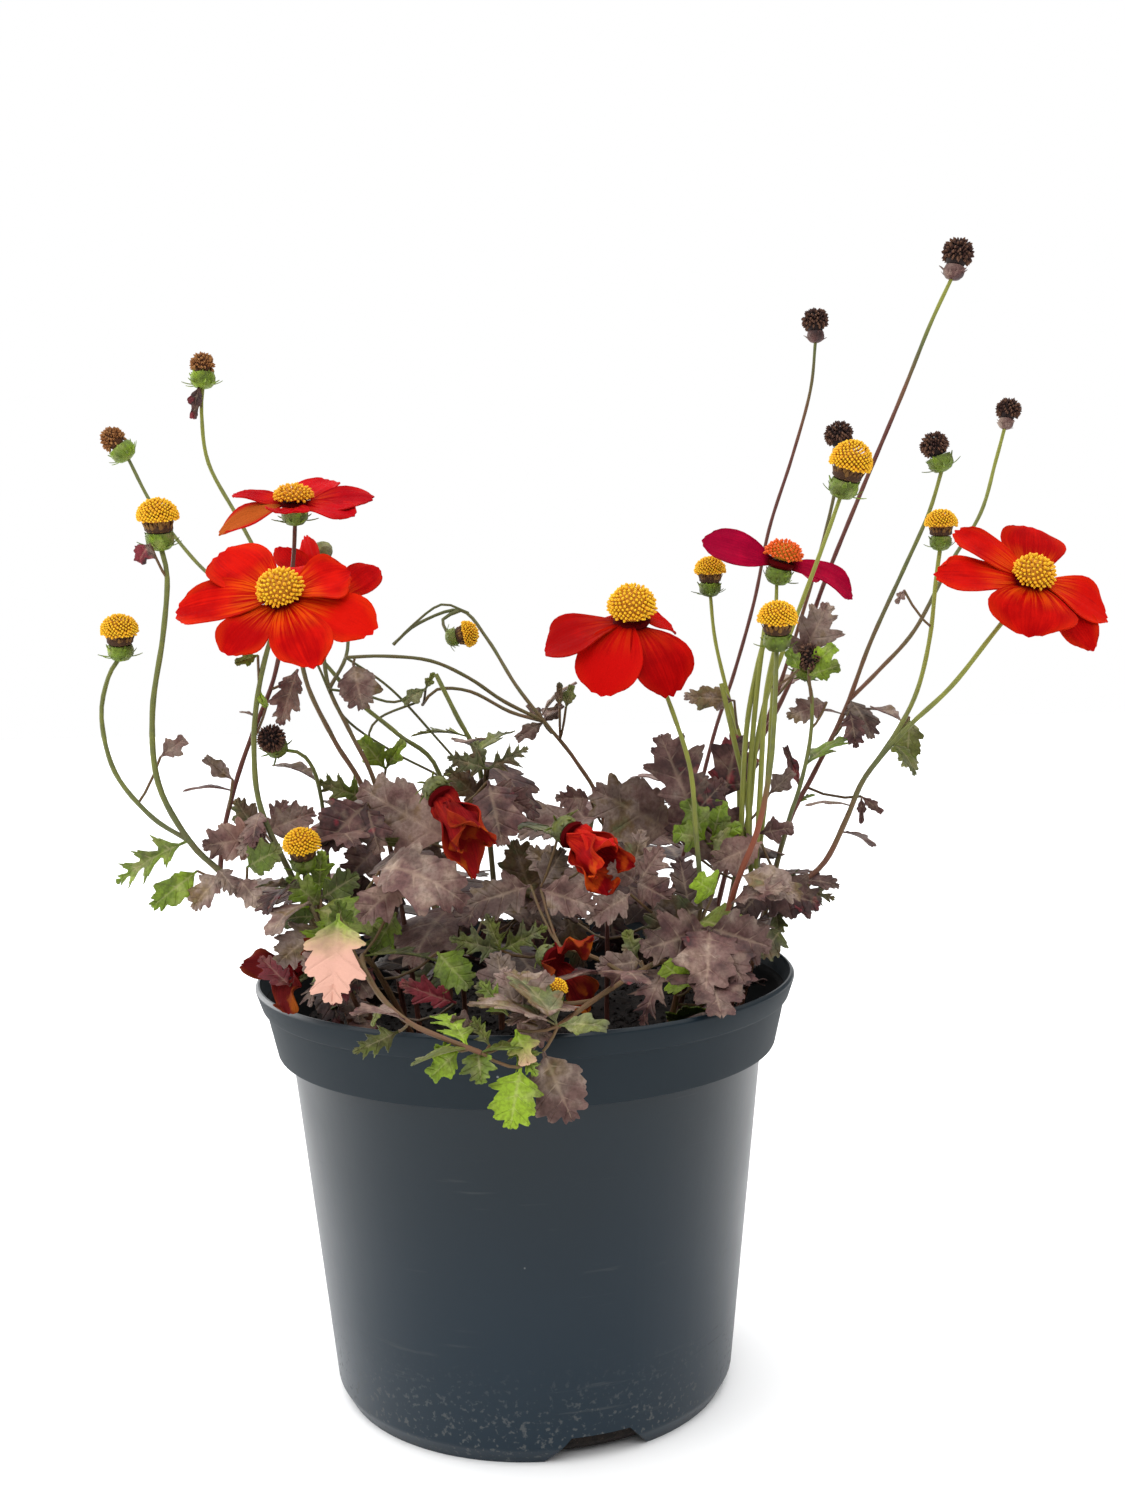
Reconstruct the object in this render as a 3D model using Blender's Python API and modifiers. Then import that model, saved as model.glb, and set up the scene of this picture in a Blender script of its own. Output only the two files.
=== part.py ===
"""Potted bidens: a nursery pot, its soil and a straggling bidens in bloom.

Run with blender --background --python part.py. Units are metres, +Z is up, and the origin is the centre
of the pot's base. Sizes below are in millimetres and go through MM. Angles are in degrees: a heading turns
from +X towards +Y, a rise lifts from the level.
"""
import math
from dataclasses import dataclass

import bmesh
import bpy
from mathutils import Matrix, Vector

MM = 0.001
GAP = 0.3

# Pot: the outline that is turned, from the lip to the foot
POT_SIDES = 32
POT_OUTLINE = (
    (84.1, 131.8),
    (85.0, 130.8),
    (82.9, 124.6),
    (81.8, 124.2),
    (78.5, 109.6),
    (74.2, 108.8),
    (63.3, 5.0),
    (60.4, 0.0),
)
POT_WALL = 1.5
POT_FLOOR = 2.0
ARCH_HEADINGS = (-73.0, 47.0, 167.0)
ARCH_FOOT_WIDTH = 32.0
ARCH_TOP_WIDTH = 18.0
ARCH_HEIGHT = 8.0
ARCH_START = 46.0
ARCH_END = 70.0
ARCH_BELOW = 5.0
DRAIN_RADIUS = 4.0
DRAIN_RING = 36.0

# Soil: its level, its bumps and the holes that the stems stand in
SOIL_LEVEL = 113.5
SOIL_BUMP = 2.2
SOIL_RINGS = (0.0, 20.0, 40.0, 60.0)
ROOT_DEPTH = 11.0
HOLE_SIDES_FACTOR = math.cos(math.pi / 6)

# Plant
SAMPLE = 8.0
STRAIGHT = 0.6
BLADE = 0.65
WELDS = (0.10, 0.06, 0.03)
SAME_FACE = math.radians(0.5)
MAIN_TAPER = 0.30
BRANCH_TAPER = 0.15
CUP_HEIGHT = 5.5
CUP_RADIUS = 4.2
CUP_SINK = 1.5
CUP_STALK = 1.3
HEAD_DROP = {"bloom": 4.2, "yellow": 4.6, "seed": 4.0, "withered": 2.0}
HUB_RADIUS = 4.6
HUB_HEIGHT = 2.0
PETAL_SEAT = 2.8
PETAL_LAYERS = (0.5, 1.4)
ROLLED_LAYER = 1.0
WITHERED_DOME = 3.0
DISC_START = 3.0
DISC_RADIUS = 5.9
SEED_RADIUS = 4.4
RING_SIDES = 8
LEAF_STALK = 0.7
LARGE_LEAF = 28.0

# Turned forms: height, radius and the radius of every other corner, as parts of the size
CUP_FORM = ((0.5, 0.74, 1.42), (0.0, 1.0, 1.0))
DISC_FORM = (
    (0.0, 0.56, 0.56),
    (0.20, 1.04, 0.92),
    (0.42, 0.84, 1.00),
    (0.66, 0.76, 0.62),
    (0.84, 0.34, 0.46),
)
YELLOW_FORM = (
    (0.0, 0.70, 0.70),
    (0.52, 0.84, 0.92),
    (0.90, 1.04, 0.92),
    (1.26, 0.68, 0.80),
    (1.46, 0.40, 0.32),
)
SEED_FORM = (
    (0.0, 0.72, 0.72),
    (0.50, 0.80, 1.28),
    (1.00, 1.30, 0.78),
    (1.58, 0.64, 1.12),
    (1.70, 0.40, 0.30),
)
BUD_SECTIONS = ((-2.6, 1.4, 1.4), (-0.8, 3.6, 3.2), (1.4, 3.4, 3.8), (3.2, 1.6, 1.6))
BUD_HEADING = -60.0
BUD_RISE = -20.0

COLOURS = {
    "pot": ((0.030, 0.042, 0.055), 0.42),
    "soil": ((0.035, 0.024, 0.018), 0.95),
    "petal_red": ((0.72, 0.040, 0.018), 0.55),
    "petal_magenta": ((0.46, 0.012, 0.075), 0.55),
    "petal_dry": ((0.34, 0.030, 0.020), 0.70),
    "disc_yellow": ((0.82, 0.47, 0.030), 0.70),
    "seed_brown": ((0.060, 0.035, 0.025), 0.85),
    "foliage": ((0.12, 0.13, 0.055), 0.65),
}


@dataclass(frozen=True)
class Outline:
    """A blade's edge: rows of place along the rib, half width and forward reach, its tip and its fold."""

    rows: tuple
    tip: float
    fold: float


@dataclass(frozen=True)
class Head:
    """What a stalk carries: its kind, middle, facing, size, and the parts of it that cup and dome take."""

    kind: str
    middle: tuple
    heading: float
    rise: float
    size: float = 1.0
    cup: float = 1.0
    dome: float = 1.25


@dataclass(frozen=True)
class Petal:
    """A petal: its turn round the head, reach, width, lift at the root, droop and roll."""

    turn: float
    length: float
    width: float
    lift: float
    droop: float
    roll: float = 0.0


@dataclass(frozen=True)
class Leaf:
    """A leaf: the place along its stem (2.5 is halfway from point 2 to 3) and how it grows."""

    at: float
    heading: float
    rise: float
    length: float
    form: str = "lobed"
    droop: float = 35.0
    roll: float = 0.0


@dataclass(frozen=True)
class Stalk:
    """A stem or branch: its radius, its route of chosen points, its leaves and what it carries."""

    radius: float
    route: tuple
    leaves: tuple = ()
    carries: str = ""


HEADS = {
    "left_front": Head("bloom", (-67, -45, 253), -95, 46, 1.12),
    "left_high": Head("bloom", (-69, 5, 283), -88, 72, 1.0, 1.0, 0.8),
    "left_back": Head("bloom", (-61, 16, 252), -85, 52),
    "centre": Head("bloom", (34, -30, 245), -92, 62, 1.24, 0.9, 1.7),
    "magenta": Head("bloom", (86, 12, 261), -40, 72),
    "right": Head("bloom", (157, -20, 253), -80, 46, 1.06),
    "left_upper": Head("yellow", (-104, -30, 275), -90, 76),
    "left_outer": Head("yellow", (-119, -20, 242), -80, 74, 0.92),
    "left_low": Head("yellow", (-64, -42, 179), -90, 68, 0.9),
    "right_high": Head("yellow", (104, -7, 288), -70, 70, 1.1),
    "right_front": Head("yellow", (78, -25, 241), -90, 74),
    "right_outer": Head("yellow", (137, 12, 270), -90, 84, 0.85),
    "lying": Head("yellow", (-17, 35, 238), -10, 12, 0.72),
    "right_inner": Head("yellow", (64, 26, 257), -90, 82, 0.85),
    "rim_bud": Head("yellow", (8, -79, 143), -90, 70, 0.5),
    "left_tall": Head("seed", (-103, 45, 328), 90, 86, 1.0, 0.95),
    "left_far": Head("seed", (-131, 30, 302), 190, 52, 1.0, 0.95),
    "left_dark": Head("seed", (-75, -21, 209), -100, 34, 1.05, 0.8),
    "back_tall": Head("seed", (107, 66, 343), 90, 86, 1.15, 0.62),
    "right_tallest": Head("seed", (150, 38, 360), 10, 76, 1.35, 0.62),
    "right_behind": Head("seed", (110, 42, 301), 180, 80, 1.2, 0.62),
    "right_middle": Head("seed", (138, 25, 295), 170, 70, 1.15, 0.85),
    "right_far": Head("seed", (172, 55, 310), 30, 74, 1.05, 0.6),
    "right_low": Head("seed", (92, -2, 229), -85, 40, 1.1, 0.9),
    "withered_left": Head("withered", (-23, -38, 191), -50, -40),
    "withered_centre": Head("withered", (15, -38, 179), -48, -24),
    "withered_front": Head("withered", (8, -64, 148), -50, -8, 0.8),
    "withered_rim": Head("withered", (-70, -48, 146), -160, 8, 0.75),
}

PETALS = {
    "left_front": (
        Petal(-132, 26, 20, 6, 10),
        Petal(-86, 29, 19, 4, 18),
        Petal(-34, 21, 15, 6, 18),
        Petal(27, 25, 20, 4, 20),
        Petal(74, 26, 15, 2, 24),
        Petal(126, 18, 15, 8, 16),
        Petal(180, 17, 15, 2, 44),
    ),
    "left_high": (
        Petal(-102, 17, 10, 14, 4, -8),
        Petal(-68, 23, 10, 0, 46, -20),
        Petal(-6, 12, 14, 8, 6),
        Petal(58, 20, 13, 3, 14, 10),
        Petal(84, 22, 15, 7, 4, 14),
        Petal(150, 17, 16, 12, 4),
    ),
    "left_back": (
        Petal(-162, 27, 9, 16, 6, -50),
        Petal(130, 20, 12, 10, 4, 20),
        Petal(165, 14, 13, 8, 6),
        Petal(-146, 25, 12, 14, 4),
    ),
    "centre": (
        Petal(-76, 25, 21, 4, 36),
        Petal(-22, 26, 19, -6, 52),
        Petal(30, 26, 19, -4, 56),
        Petal(100, 12, 12, -6, 50),
        Petal(-160, 15, 14, -6, 62),
    ),
    "magenta": (
        Petal(-142, 24, 15, 9, 10, -44),
        Petal(34, 25, 14, 12, 58, 30),
        Petal(84, 17, 13, 2, 30),
        Petal(140, 19, 14, 4, 26),
    ),
    "right": (
        Petal(160, 21, 18, 14, 8),
        Petal(-138, 25, 11, 10, 10),
        Petal(-96, 28, 17, 8, 14),
        Petal(-20, 21, 28, 8, 24),
        Petal(30, 26, 15, 0, 30),
        Petal(64, 24, 18, 4, 36),
    ),
    "withered_left": (
        Petal(-75, 21, 14, 80, -6),
        Petal(10, 25, 15, 74, -4),
        Petal(95, 22, 13, 78, -6),
        Petal(180, 18, 12, 80, -8),
    ),
    "withered_centre": (
        Petal(-80, 20, 15, 76, -4),
        Petal(0, 20, 16, 70, 6),
        Petal(85, 21, 14, 78, -4),
        Petal(180, 17, 12, 78, -6),
    ),
    "withered_front": (
        Petal(-70, 14, 11, 54, 20),
        Petal(30, 16, 12, 44, 30),
        Petal(150, 13, 10, 60, 0),
    ),
    "withered_rim": (
        Petal(-80, 14, 10, 42, 20),
        Petal(20, 13, 11, 34, 30),
        Petal(120, 12, 9, 50, 10),
    ),
}

# Stems: each has a main stalk that roots in the soil, and branches that start at one of its points
STEMS = {
    "stem_left_fork": (
        Stalk(
            1.25,
            (
                (-46, -22, 117), (-54, -24, 138), (-66, -29, 153), (-80, -34, 161), (-89, -36, 171),
                (-98, -34, 180), (-107, -31, 197), (-108, -30, 218), (-104, -30, 240), (-102, -30, 257),
            ),
            (
                Leaf(2.6, 112, 30, 26),
                Leaf(3.4, 200, -14, 28, "feather", roll=-50),
                Leaf(3.9, 214, -34, 20, roll=-40),
                Leaf(4.1, -44, -28, 22, roll=30),
            ),
            "left_upper",
        ),
        Stalk(
            0.85,
            ((-98, -34, 180), (-110, -29, 187), (-121, -25, 200), (-125, -22, 216), (-123, -20, 228)),
            (),
            "left_outer",
        ),
        Stalk(
            0.85,
            (
                (-89, -36, 171), (-89, -27, 182), (-85, -22, 198), (-80, -18, 212), (-75, -11, 226),
                (-72, -2, 244), (-70, 6, 262),
            ),
            (
                Leaf(1.7, 185, 20, 14, "small"),
            ),
            "left_high",
        ),
        Stalk(0.8, ((-54, -24, 138), (-61, -36, 143), (-65, -44, 146)), (), "withered_rim"),
    ),
    "stem_left_front": (
        Stalk(
            1.15,
            (
                (-50, -36, 117), (-56, -40, 140), (-66, -38, 165), (-77, -31, 188), (-79, -28, 206),
                (-77, -30, 222), (-72, -35, 238),
            ),
            (
                Leaf(2.8, 228, -26, 24, roll=-30),
                Leaf(3.0, -104, -30, 24, roll=10),
                Leaf(4.6, 160, 34, 14, "small"),
            ),
            "left_front",
        ),
    ),
    "stem_left_tall": (
        Stalk(
            1.0,
            (
                (-40, 10, 117), (-44, 6, 150), (-49, 2, 187), (-59, 8, 205), (-68, 17, 222),
                (-73, 25, 240), (-82, 33, 259), (-92, 39, 278), (-102, 43, 297), (-104, 45, 314),
            ),
            (
                Leaf(1.2, 168, 14, 34),
                Leaf(1.7, 118, 30, 28),
            ),
            "left_tall",
        ),
    ),
    "stem_left_back": (
        Stalk(
            0.95,
            (
                (-34, -8, 117), (-38, -6, 150), (-45, -4, 190), (-53, 0, 208), (-60, 6, 222),
                (-62, 11, 236),
            ),
            (
                Leaf(1.5, -72, 0, 32, roll=16),
                Leaf(1.3, 250, -20, 22, roll=-30),
                Leaf(2.0, -30, -16, 20, roll=40),
            ),
            "left_back",
        ),
        Stalk(
            0.7,
            ((-60, 6, 222), (-55, 17, 234), (-58, 31, 250), (-67, 41, 263), (-68, 44, 270), (-65, 42, 267)),
            (),
            "bud",
        ),
    ),
    "stem_left_outer": (
        Stalk(
            0.9,
            (
                (-20, 8, 117), (-22, 7, 155), (-26, 6, 194), (-39, 8, 207), (-52, 11, 218),
                (-64, 13, 232), (-79, 14, 243), (-92, 18, 254), (-103, 22, 263), (-117, 27, 281),
            ),
            (
                Leaf(0.9, -112, 2, 36, droop=45),
                Leaf(1.4, 176, 14, 28),
            ),
            "left_far",
        ),
        Stalk(0.8, ((-22, 7, 155), (-22, -10, 176), (-26, -24, 191)), (), "withered_left"),
    ),
    "stem_left_dark": (
        Stalk(
            0.9,
            ((-58, -10, 117), (-60, -9, 150), (-62, -8, 188), (-66, -12, 202)),
            (
                Leaf(1.8, -66, 6, 26, roll=10),
                Leaf(1.2, 176, 12, 30, roll=-36),
                Leaf(2.3, 150, 34, 16, "small"),
            ),
            "left_dark",
        ),
    ),
    "stem_left_low": (
        Stalk(
            0.9,
            ((-43, -47, 117), (-52, -48, 140), (-59, -46, 156), (-63, -43, 165)),
            (
                Leaf(1.6, -90, 6, 36, droop=75),
                Leaf(2.2, 182, 6, 22, roll=-40),
                Leaf(2.4, -30, 4, 22, roll=40),
            ),
            "left_low",
        ),
    ),
    "stem_wiry": (
        Stalk(
            0.85,
            (
                (26, 8, 117), (27, 12, 150), (26, 15, 180), (18, 19, 196), (8, 22, 209),
                (-1, 26, 221), (-10, 36, 236), (-19, 43, 246), (-33, 39, 242), (-42, 40, 235),
            ),
            (
                Leaf(1.9, -164, 4, 28, roll=-34),
                Leaf(1.7, 6, 6, 26, roll=36),
                Leaf(4.0, 70, 30, 14, "small"),
                Leaf(4.1, 0, 60, 16, "small"),
            ),
        ),
        Stalk(
            0.7,
            ((8, 22, 209), (-5, 20, 216), (-16, 16, 224), (-28, 11, 230), (-42, 4, 232), (-54, -1, 232)),
            (Leaf(4.9, -50, -50, 18),),
        ),
        Stalk(
            0.7,
            ((8, 22, 209), (-3, 28, 212), (-16, 29, 219), (-27, 28, 220), (-32, 27, 215)),
        ),
        Stalk(0.7, ((-19, 43, 246), (-25, 40, 243)), (), "lying"),
        Stalk(
            0.8,
            ((27, 12, 150), (24, -8, 166), (17, -24, 180)),
            (
                Leaf(0.7, -160, -6, 26, roll=-24),
                Leaf(0.9, -62, -6, 24, roll=20),
            ),
            "withered_centre",
        ),
    ),
    "stem_middle": (
        Stalk(
            1.1,
            ((-8, -4, 117), (-9, -1, 150), (-11, 1, 180), (-14, 3, 200), (-20, 3, 213), (-26, 3, 226)),
            (
                Leaf(0.7, -66, 4, 34),
                Leaf(1.0, 0, 10, 28, roll=40),
                Leaf(1.3, -104, 8, 32, "lobed", 45),
                Leaf(1.9, -40, 16, 26, "feather"),
                Leaf(2.9, -38, -14, 28, "lobed", 50),
                Leaf(3.0, 55, 34, 20, "feather"),
                Leaf(3.1, -100, 30, 18, "small"),
                Leaf(3.4, 175, 20, 18, "feather"),
            ),
        ),
    ),
    "stem_centre": (
        Stalk(
            1.2,
            (
                (44, -30, 117), (49, -36, 140), (52, -38, 158), (51, -38, 180), (50, -36, 197),
                (46, -34, 212), (40, -32, 228),
            ),
            (
                Leaf(1.2, -84, 6, 38, droop=46),
                Leaf(1.0, -36, 6, 34, droop=40),
                Leaf(0.8, -156, 12, 28, droop=36),
            ),
            "centre",
        ),
    ),
    "stem_right_front": (
        Stalk(
            1.15,
            (
                (52, -22, 117), (57, -27, 140), (64, -31, 163), (70, -32, 178), (74, -31, 195),
                (76, -29, 212),
            ),
            (
                Leaf(2.1, -30, -4, 30, roll=34),
                Leaf(1.5, 150, 20, 26),
            ),
            "right_front",
        ),
    ),
    "stem_right_high": (
        Stalk(
            1.0,
            (
                (58, -8, 117), (64, -8, 150), (71, -7, 180), (73, -8, 198), (77, -8, 217),
                (86, -8, 240), (95, -8, 263),
            ),
            (
                Leaf(1.4, 156, 56, 36, roll=-66, droop=20),
                Leaf(1.7, -122, 10, 20, "feather"),
                Leaf(3.4, 170, 36, 14, "small"),
            ),
            "right_high",
        ),
    ),
    "stem_right_inner": (
        Stalk(
            0.9,
            ((60, 12, 117), (68, 11, 150), (74, 12, 172), (73, 15, 196), (69, 19, 214), (65, 23, 234)),
            (
                Leaf(1.6, 172, 50, 20, "feather"),
                Leaf(3.6, 184, 14, 16, "small"),
            ),
            "right_inner",
        ),
    ),
    "stem_magenta": (
        Stalk(
            0.9,
            ((66, 3, 117), (73, 3, 150), (78, 4, 183), (81, 7, 215), (83, 11, 238)),
            (Leaf(2.5, 176, 40, 16, "small"),),
            "magenta",
        ),
    ),
    "stem_right_tallest": (
        Stalk(
            1.0,
            (
                (58, 28, 117), (66, 26, 150), (72, 25, 174), (78, 26, 196), (90, 28, 219),
                (102, 30, 251), (115, 32, 281), (130, 35, 314), (140, 37, 337),
            ),
            (
                Leaf(1.2, 16, 20, 32),
                Leaf(2.0, 150, 30, 26),
            ),
            "right_tallest",
        ),
    ),
    "stem_right_behind": (
        Stalk(
            0.9,
            ((52, 42, 117), (66, 42, 150), (79, 41, 191), (90, 41, 221), (100, 42, 251), (107, 42, 276)),
            (Leaf(2.8, 40, 40, 26),),
            "right_behind",
        ),
    ),
    "stem_back_tall": (
        Stalk(
            0.85,
            (
                (42, 48, 117), (56, 49, 160), (67, 50, 200), (75, 53, 222), (83, 57, 247),
                (89, 60, 272), (98, 64, 297), (105, 66, 320),
            ),
            (Leaf(0.9, 96, 20, 32), Leaf(1.5, 170, 30, 24)),
            "back_tall",
        ),
    ),
    "stem_right_pair": (
        Stalk(
            1.0,
            (
                (67, -5, 117), (76, -6, 150), (84, -5, 177), (92, 0, 190), (101, 7, 204),
                (107, 13, 214), (115, 16, 233), (127, 21, 256), (136, 24, 274),
            ),
            (
                Leaf(1.3, 8, 24, 30),
                Leaf(2.3, 40, 36, 20, "feather"),
                Leaf(5.0, -62, -30, 16),
                Leaf(4.6, 176, 20, 14, "small"),
            ),
            "right_middle",
        ),
        Stalk(
            0.8,
            (
                (107, 13, 214), (119, 23, 223), (133, 31, 236), (147, 41, 257), (160, 48, 275),
                (167, 54, 293),
            ),
            (),
            "right_far",
        ),
    ),
    "stem_right_bloom": (
        Stalk(
            1.1,
            (
                (62, -18, 117), (67, -18, 140), (74, -18, 154), (84, -18, 159), (93, -17, 166),
                (100, -16, 179), (106, -16, 192), (118, -17, 206), (132, -18, 219), (144, -19, 234),
            ),
            (
                Leaf(3.2, -26, 8, 28, roll=30),
                Leaf(2.6, -60, -6, 24),
                Leaf(4.7, 30, -6, 14, "small"),
                Leaf(5.3, 178, 20, 14, "small"),
                Leaf(6.7, -40, -26, 20, "lobed", 50),
            ),
            "right",
        ),
        Stalk(
            0.85,
            ((106, -16, 192), (117, -8, 204), (126, 0, 217), (132, 7, 234), (135, 11, 252)),
            (
                Leaf(1.3, 120, 30, 16, "small"),
            ),
            "right_outer",
        ),
    ),
    "stem_right_low": (
        Stalk(
            0.9,
            ((66, -13, 117), (75, -13, 150), (82, -12, 176), (87, -9, 189), (91, -5, 203), (92, -3, 216)),
            (
                Leaf(3.4, 30, 40, 22, "feather"),
            ),
            "right_low",
        ),
    ),
    "runner_left": (
        Stalk(
            1.05,
            (
                (-33, -34, 117), (-42, -43, 139), (-46, -52, 148), (-45, -64, 147), (-39, -79, 142),
                (-31, -91, 138), (-21, -98, 135), (-12, -101, 132),
            ),
            (
                Leaf(2.4, 10, 10, 22, "feather"),
                Leaf(4.2, 214, -34, 16, "small"),
                Leaf(6.2, 176, -30, 18, "feather"),
                Leaf(6.6, 112, 30, 20, "feather"),
                Leaf(7.0, -74, -54, 22, "lobed", 40),
                Leaf(7.0, 30, 10, 16, "small"),
            ),
        ),
    ),
    "runner_right": (
        Stalk(
            1.05,
            (
                (40, -42, 117), (44, -47, 135), (40, -53, 144), (29, -63, 142), (18, -77, 139),
                (8, -92, 136),
            ),
            (
                Leaf(5.0, -62, -46, 25, "lobed", 44),
                Leaf(5.0, 182, 34, 24),
                Leaf(5.0, 142, 56, 20),
                Leaf(4.3, 206, 14, 22),
            ),
        ),
        Stalk(0.7, ((18, -77, 139), (13, -79, 139), (9, -79, 139)), (), "rim_bud"),
        Stalk(0.75, ((29, -63, 142), (20, -60, 147), (10, -58, 150)), (), "withered_front"),
    ),
    "shoot_back_left": (
        Stalk(
            1.1,
            ((-26, 34, 117), (-30, 42, 140), (-36, 50, 160), (-40, 54, 176)),
            (
                Leaf(1.0, 150, 14, 34),
                Leaf(1.5, 60, 16, 34),
                Leaf(2.2, 200, 24, 30),
                Leaf(2.6, 100, 20, 32),
                Leaf(3.0, 10, 40, 26),
            ),
        ),
    ),
    "shoot_back_right": (
        Stalk(
            1.1,
            ((16, 42, 117), (18, 47, 140), (22, 53, 160), (26, 56, 178)),
            (
                Leaf(1.0, 120, 12, 34),
                Leaf(1.5, 30, 14, 30),
                Leaf(2.2, 160, 22, 32),
                Leaf(2.6, 80, 22, 32),
                Leaf(3.0, 60, 50, 22),
            ),
        ),
    ),
}

# Blade outlines, as parts of the length along the rib and of the breadth across it
LEAF_FORMS = {
    "lobed": Outline(
        (
            (0.00, 0.0, 0.0),
            (0.34, 0.32, -0.02),
            (0.50, 0.17, 0.0),
            (0.62, 0.37, 0.08),
            (0.80, 0.16, 0.0),
        ),
        1.0,
        0.22,
    ),
    "cut": Outline(
        (
            (0.00, 0.0, 0.0),
            (0.34, 0.32, 0.0),
            (0.50, 0.19, 0.0),
            (0.68, 0.35, 0.07),
        ),
        1.0,
        0.22,
    ),
    "small": Outline(
        (
            (0.00, 0.0, 0.0),
            (0.46, 0.30, 0.10),
            (0.64, 0.09, 0.0),
        ),
        1.0,
        0.22,
    ),
    "feather": Outline(
        (
            (0.00, 0.0, 0.0),
            (0.36, 0.30, 0.08),
            (0.52, 0.06, 0.0),
            (0.64, 0.32, 0.12),
        ),
        1.0,
        0.22,
    ),
}
PETAL_FORM = Outline(
    (
        (0.00, 0.10, 0.0),
        (0.34, 0.36, 0.0),
        (0.66, 0.50, 0.0),
        (0.92, 0.30, 0.06),
    ),
    0.94,
    0.10,
)


def link(name, mesh, collection, colour=None):
    """Put a mesh in a collection as a named object."""
    made = bpy.data.objects.new(name, mesh)
    collection.objects.link(made)
    if colour:
        mesh.materials.clear()
        mesh.materials.append(material(name, colour))
    return made


def material(name, colour):
    """A Principled material of one of the named colours."""
    rgb, roughness = COLOURS[colour]
    made = bpy.data.materials.new(name)
    made.use_nodes = True
    shader = made.node_tree.nodes["Principled BSDF"]
    shader.inputs["Base Color"].default_value = (*rgb, 1.0)
    shader.inputs["Roughness"].default_value = roughness
    shader.inputs["Metallic"].default_value = 0.0
    made.diffuse_color = (*rgb, 1.0)
    return made


def to_mesh(name, bm):
    """Close a bmesh into a new mesh."""
    mesh = bpy.data.meshes.new(name)
    bm.to_mesh(mesh)
    bm.free()
    return mesh


def evaluated_mesh(made):
    """The mesh of an object with its modifiers applied."""
    bpy.context.view_layer.update()
    graph = bpy.context.evaluated_depsgraph_get()
    return bpy.data.meshes.new_from_object(made.evaluated_get(graph))


def discard(objects):
    """Remove objects that have served their turn."""
    for made in objects:
        bpy.data.objects.remove(made)


def turned(name, outline, collection):
    """Turn an outline, top to bottom along its outer side, round +Z."""
    bm = bmesh.new()
    points = [bm.verts.new((radius * MM, 0.0, height * MM)) for radius, height in outline]
    for first, second in zip(points, points[1:]):
        bm.edges.new((first, second))
    made = link(name, to_mesh(name, bm), collection)
    screw = made.modifiers.new("turn", "SCREW")
    screw.steps = POT_SIDES
    screw.render_steps = POT_SIDES
    screw.use_merge_vertices = True
    screw.merge_threshold = 0.00001
    return made


def offset_outline(outline, distance):
    """Move an outline inwards, towards the axis, by a distance square to each of its runs."""
    moved = []
    for index, (radius, height) in enumerate(outline):
        before = outline[max(index - 1, 0)]
        after = outline[min(index + 1, len(outline) - 1)]
        normals = []
        for start, end in ((before, (radius, height)), ((radius, height), after)):
            run = Vector((end[0] - start[0], end[1] - start[1]))
            if run.length > 0:
                normals.append(Vector((run.y, -run.x)).normalized())
        middle = sum(normals, Vector((0.0, 0.0))).normalized()
        reach = distance / max(middle.dot(normals[0]), 0.5)
        moved.append((radius + middle.x * reach, height + middle.y * reach))
    return moved


def cavity_outline(gap):
    """The pot's inside from above the lip to its floor, drawn in by a further gap."""
    walls = offset_outline(POT_OUTLINE[1:7], POT_WALL + gap)
    foot = POT_FLOOR + gap
    return walls[:-1] + [(walls[-1][0], foot + 3.0), (walls[-1][0] - 3.0, foot)]


def arch_block(name, heading, grow, collection):
    """A block the shape of a drain arch, grown on its sides and top."""
    bm = bmesh.new()
    bmesh.ops.create_cube(bm, size=1.0)
    top = ARCH_HEIGHT + grow
    start = ARCH_START - grow
    flare = (ARCH_FOOT_WIDTH - ARCH_TOP_WIDTH) / ARCH_HEIGHT
    for corner in bm.verts:
        height = top if corner.co.z > 0 else -ARCH_BELOW
        width = ARCH_FOOT_WIDTH - flare * height + 2 * grow
        along = ARCH_END if corner.co.x > 0 else start
        corner.co = Vector((along, math.copysign(width / 2, corner.co.y), height)) * MM
    bm.transform(Matrix.Rotation(math.radians(heading), 4, "Z"))
    return link(name, to_mesh(name, bm), collection)


def peg(name, place, radius, low, high, collection, sides=6):
    """An upright round cutter."""
    bm = bmesh.new()
    bmesh.ops.create_cone(
        bm,
        cap_ends=True,
        segments=sides,
        radius1=radius * MM,
        radius2=radius * MM,
        depth=(high - low) * MM,
        matrix=Matrix.Translation(Vector((place[0], place[1], (low + high) / 2)) * MM),
    )
    return link(name, to_mesh(name, bm), collection)


def cut(made, cutters):
    """Cut an object by another object or by a collection."""
    boolean = made.modifiers.new("cut", "BOOLEAN")
    boolean.operation = "DIFFERENCE"
    if isinstance(cutters, bpy.types.Collection):
        boolean.operand_type = "COLLECTION"
        boolean.collection = cutters
    else:
        boolean.object = cutters


def hide_cutters(collection):
    """Show a collection's objects as guides only."""
    for made in collection.all_objects:
        made.hide_render = True
        made.display_type = "WIRE"


def new_collection(name, parent):
    """A collection under a parent."""
    made = bpy.data.collections.new(name)
    parent.children.link(made)
    return made


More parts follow.
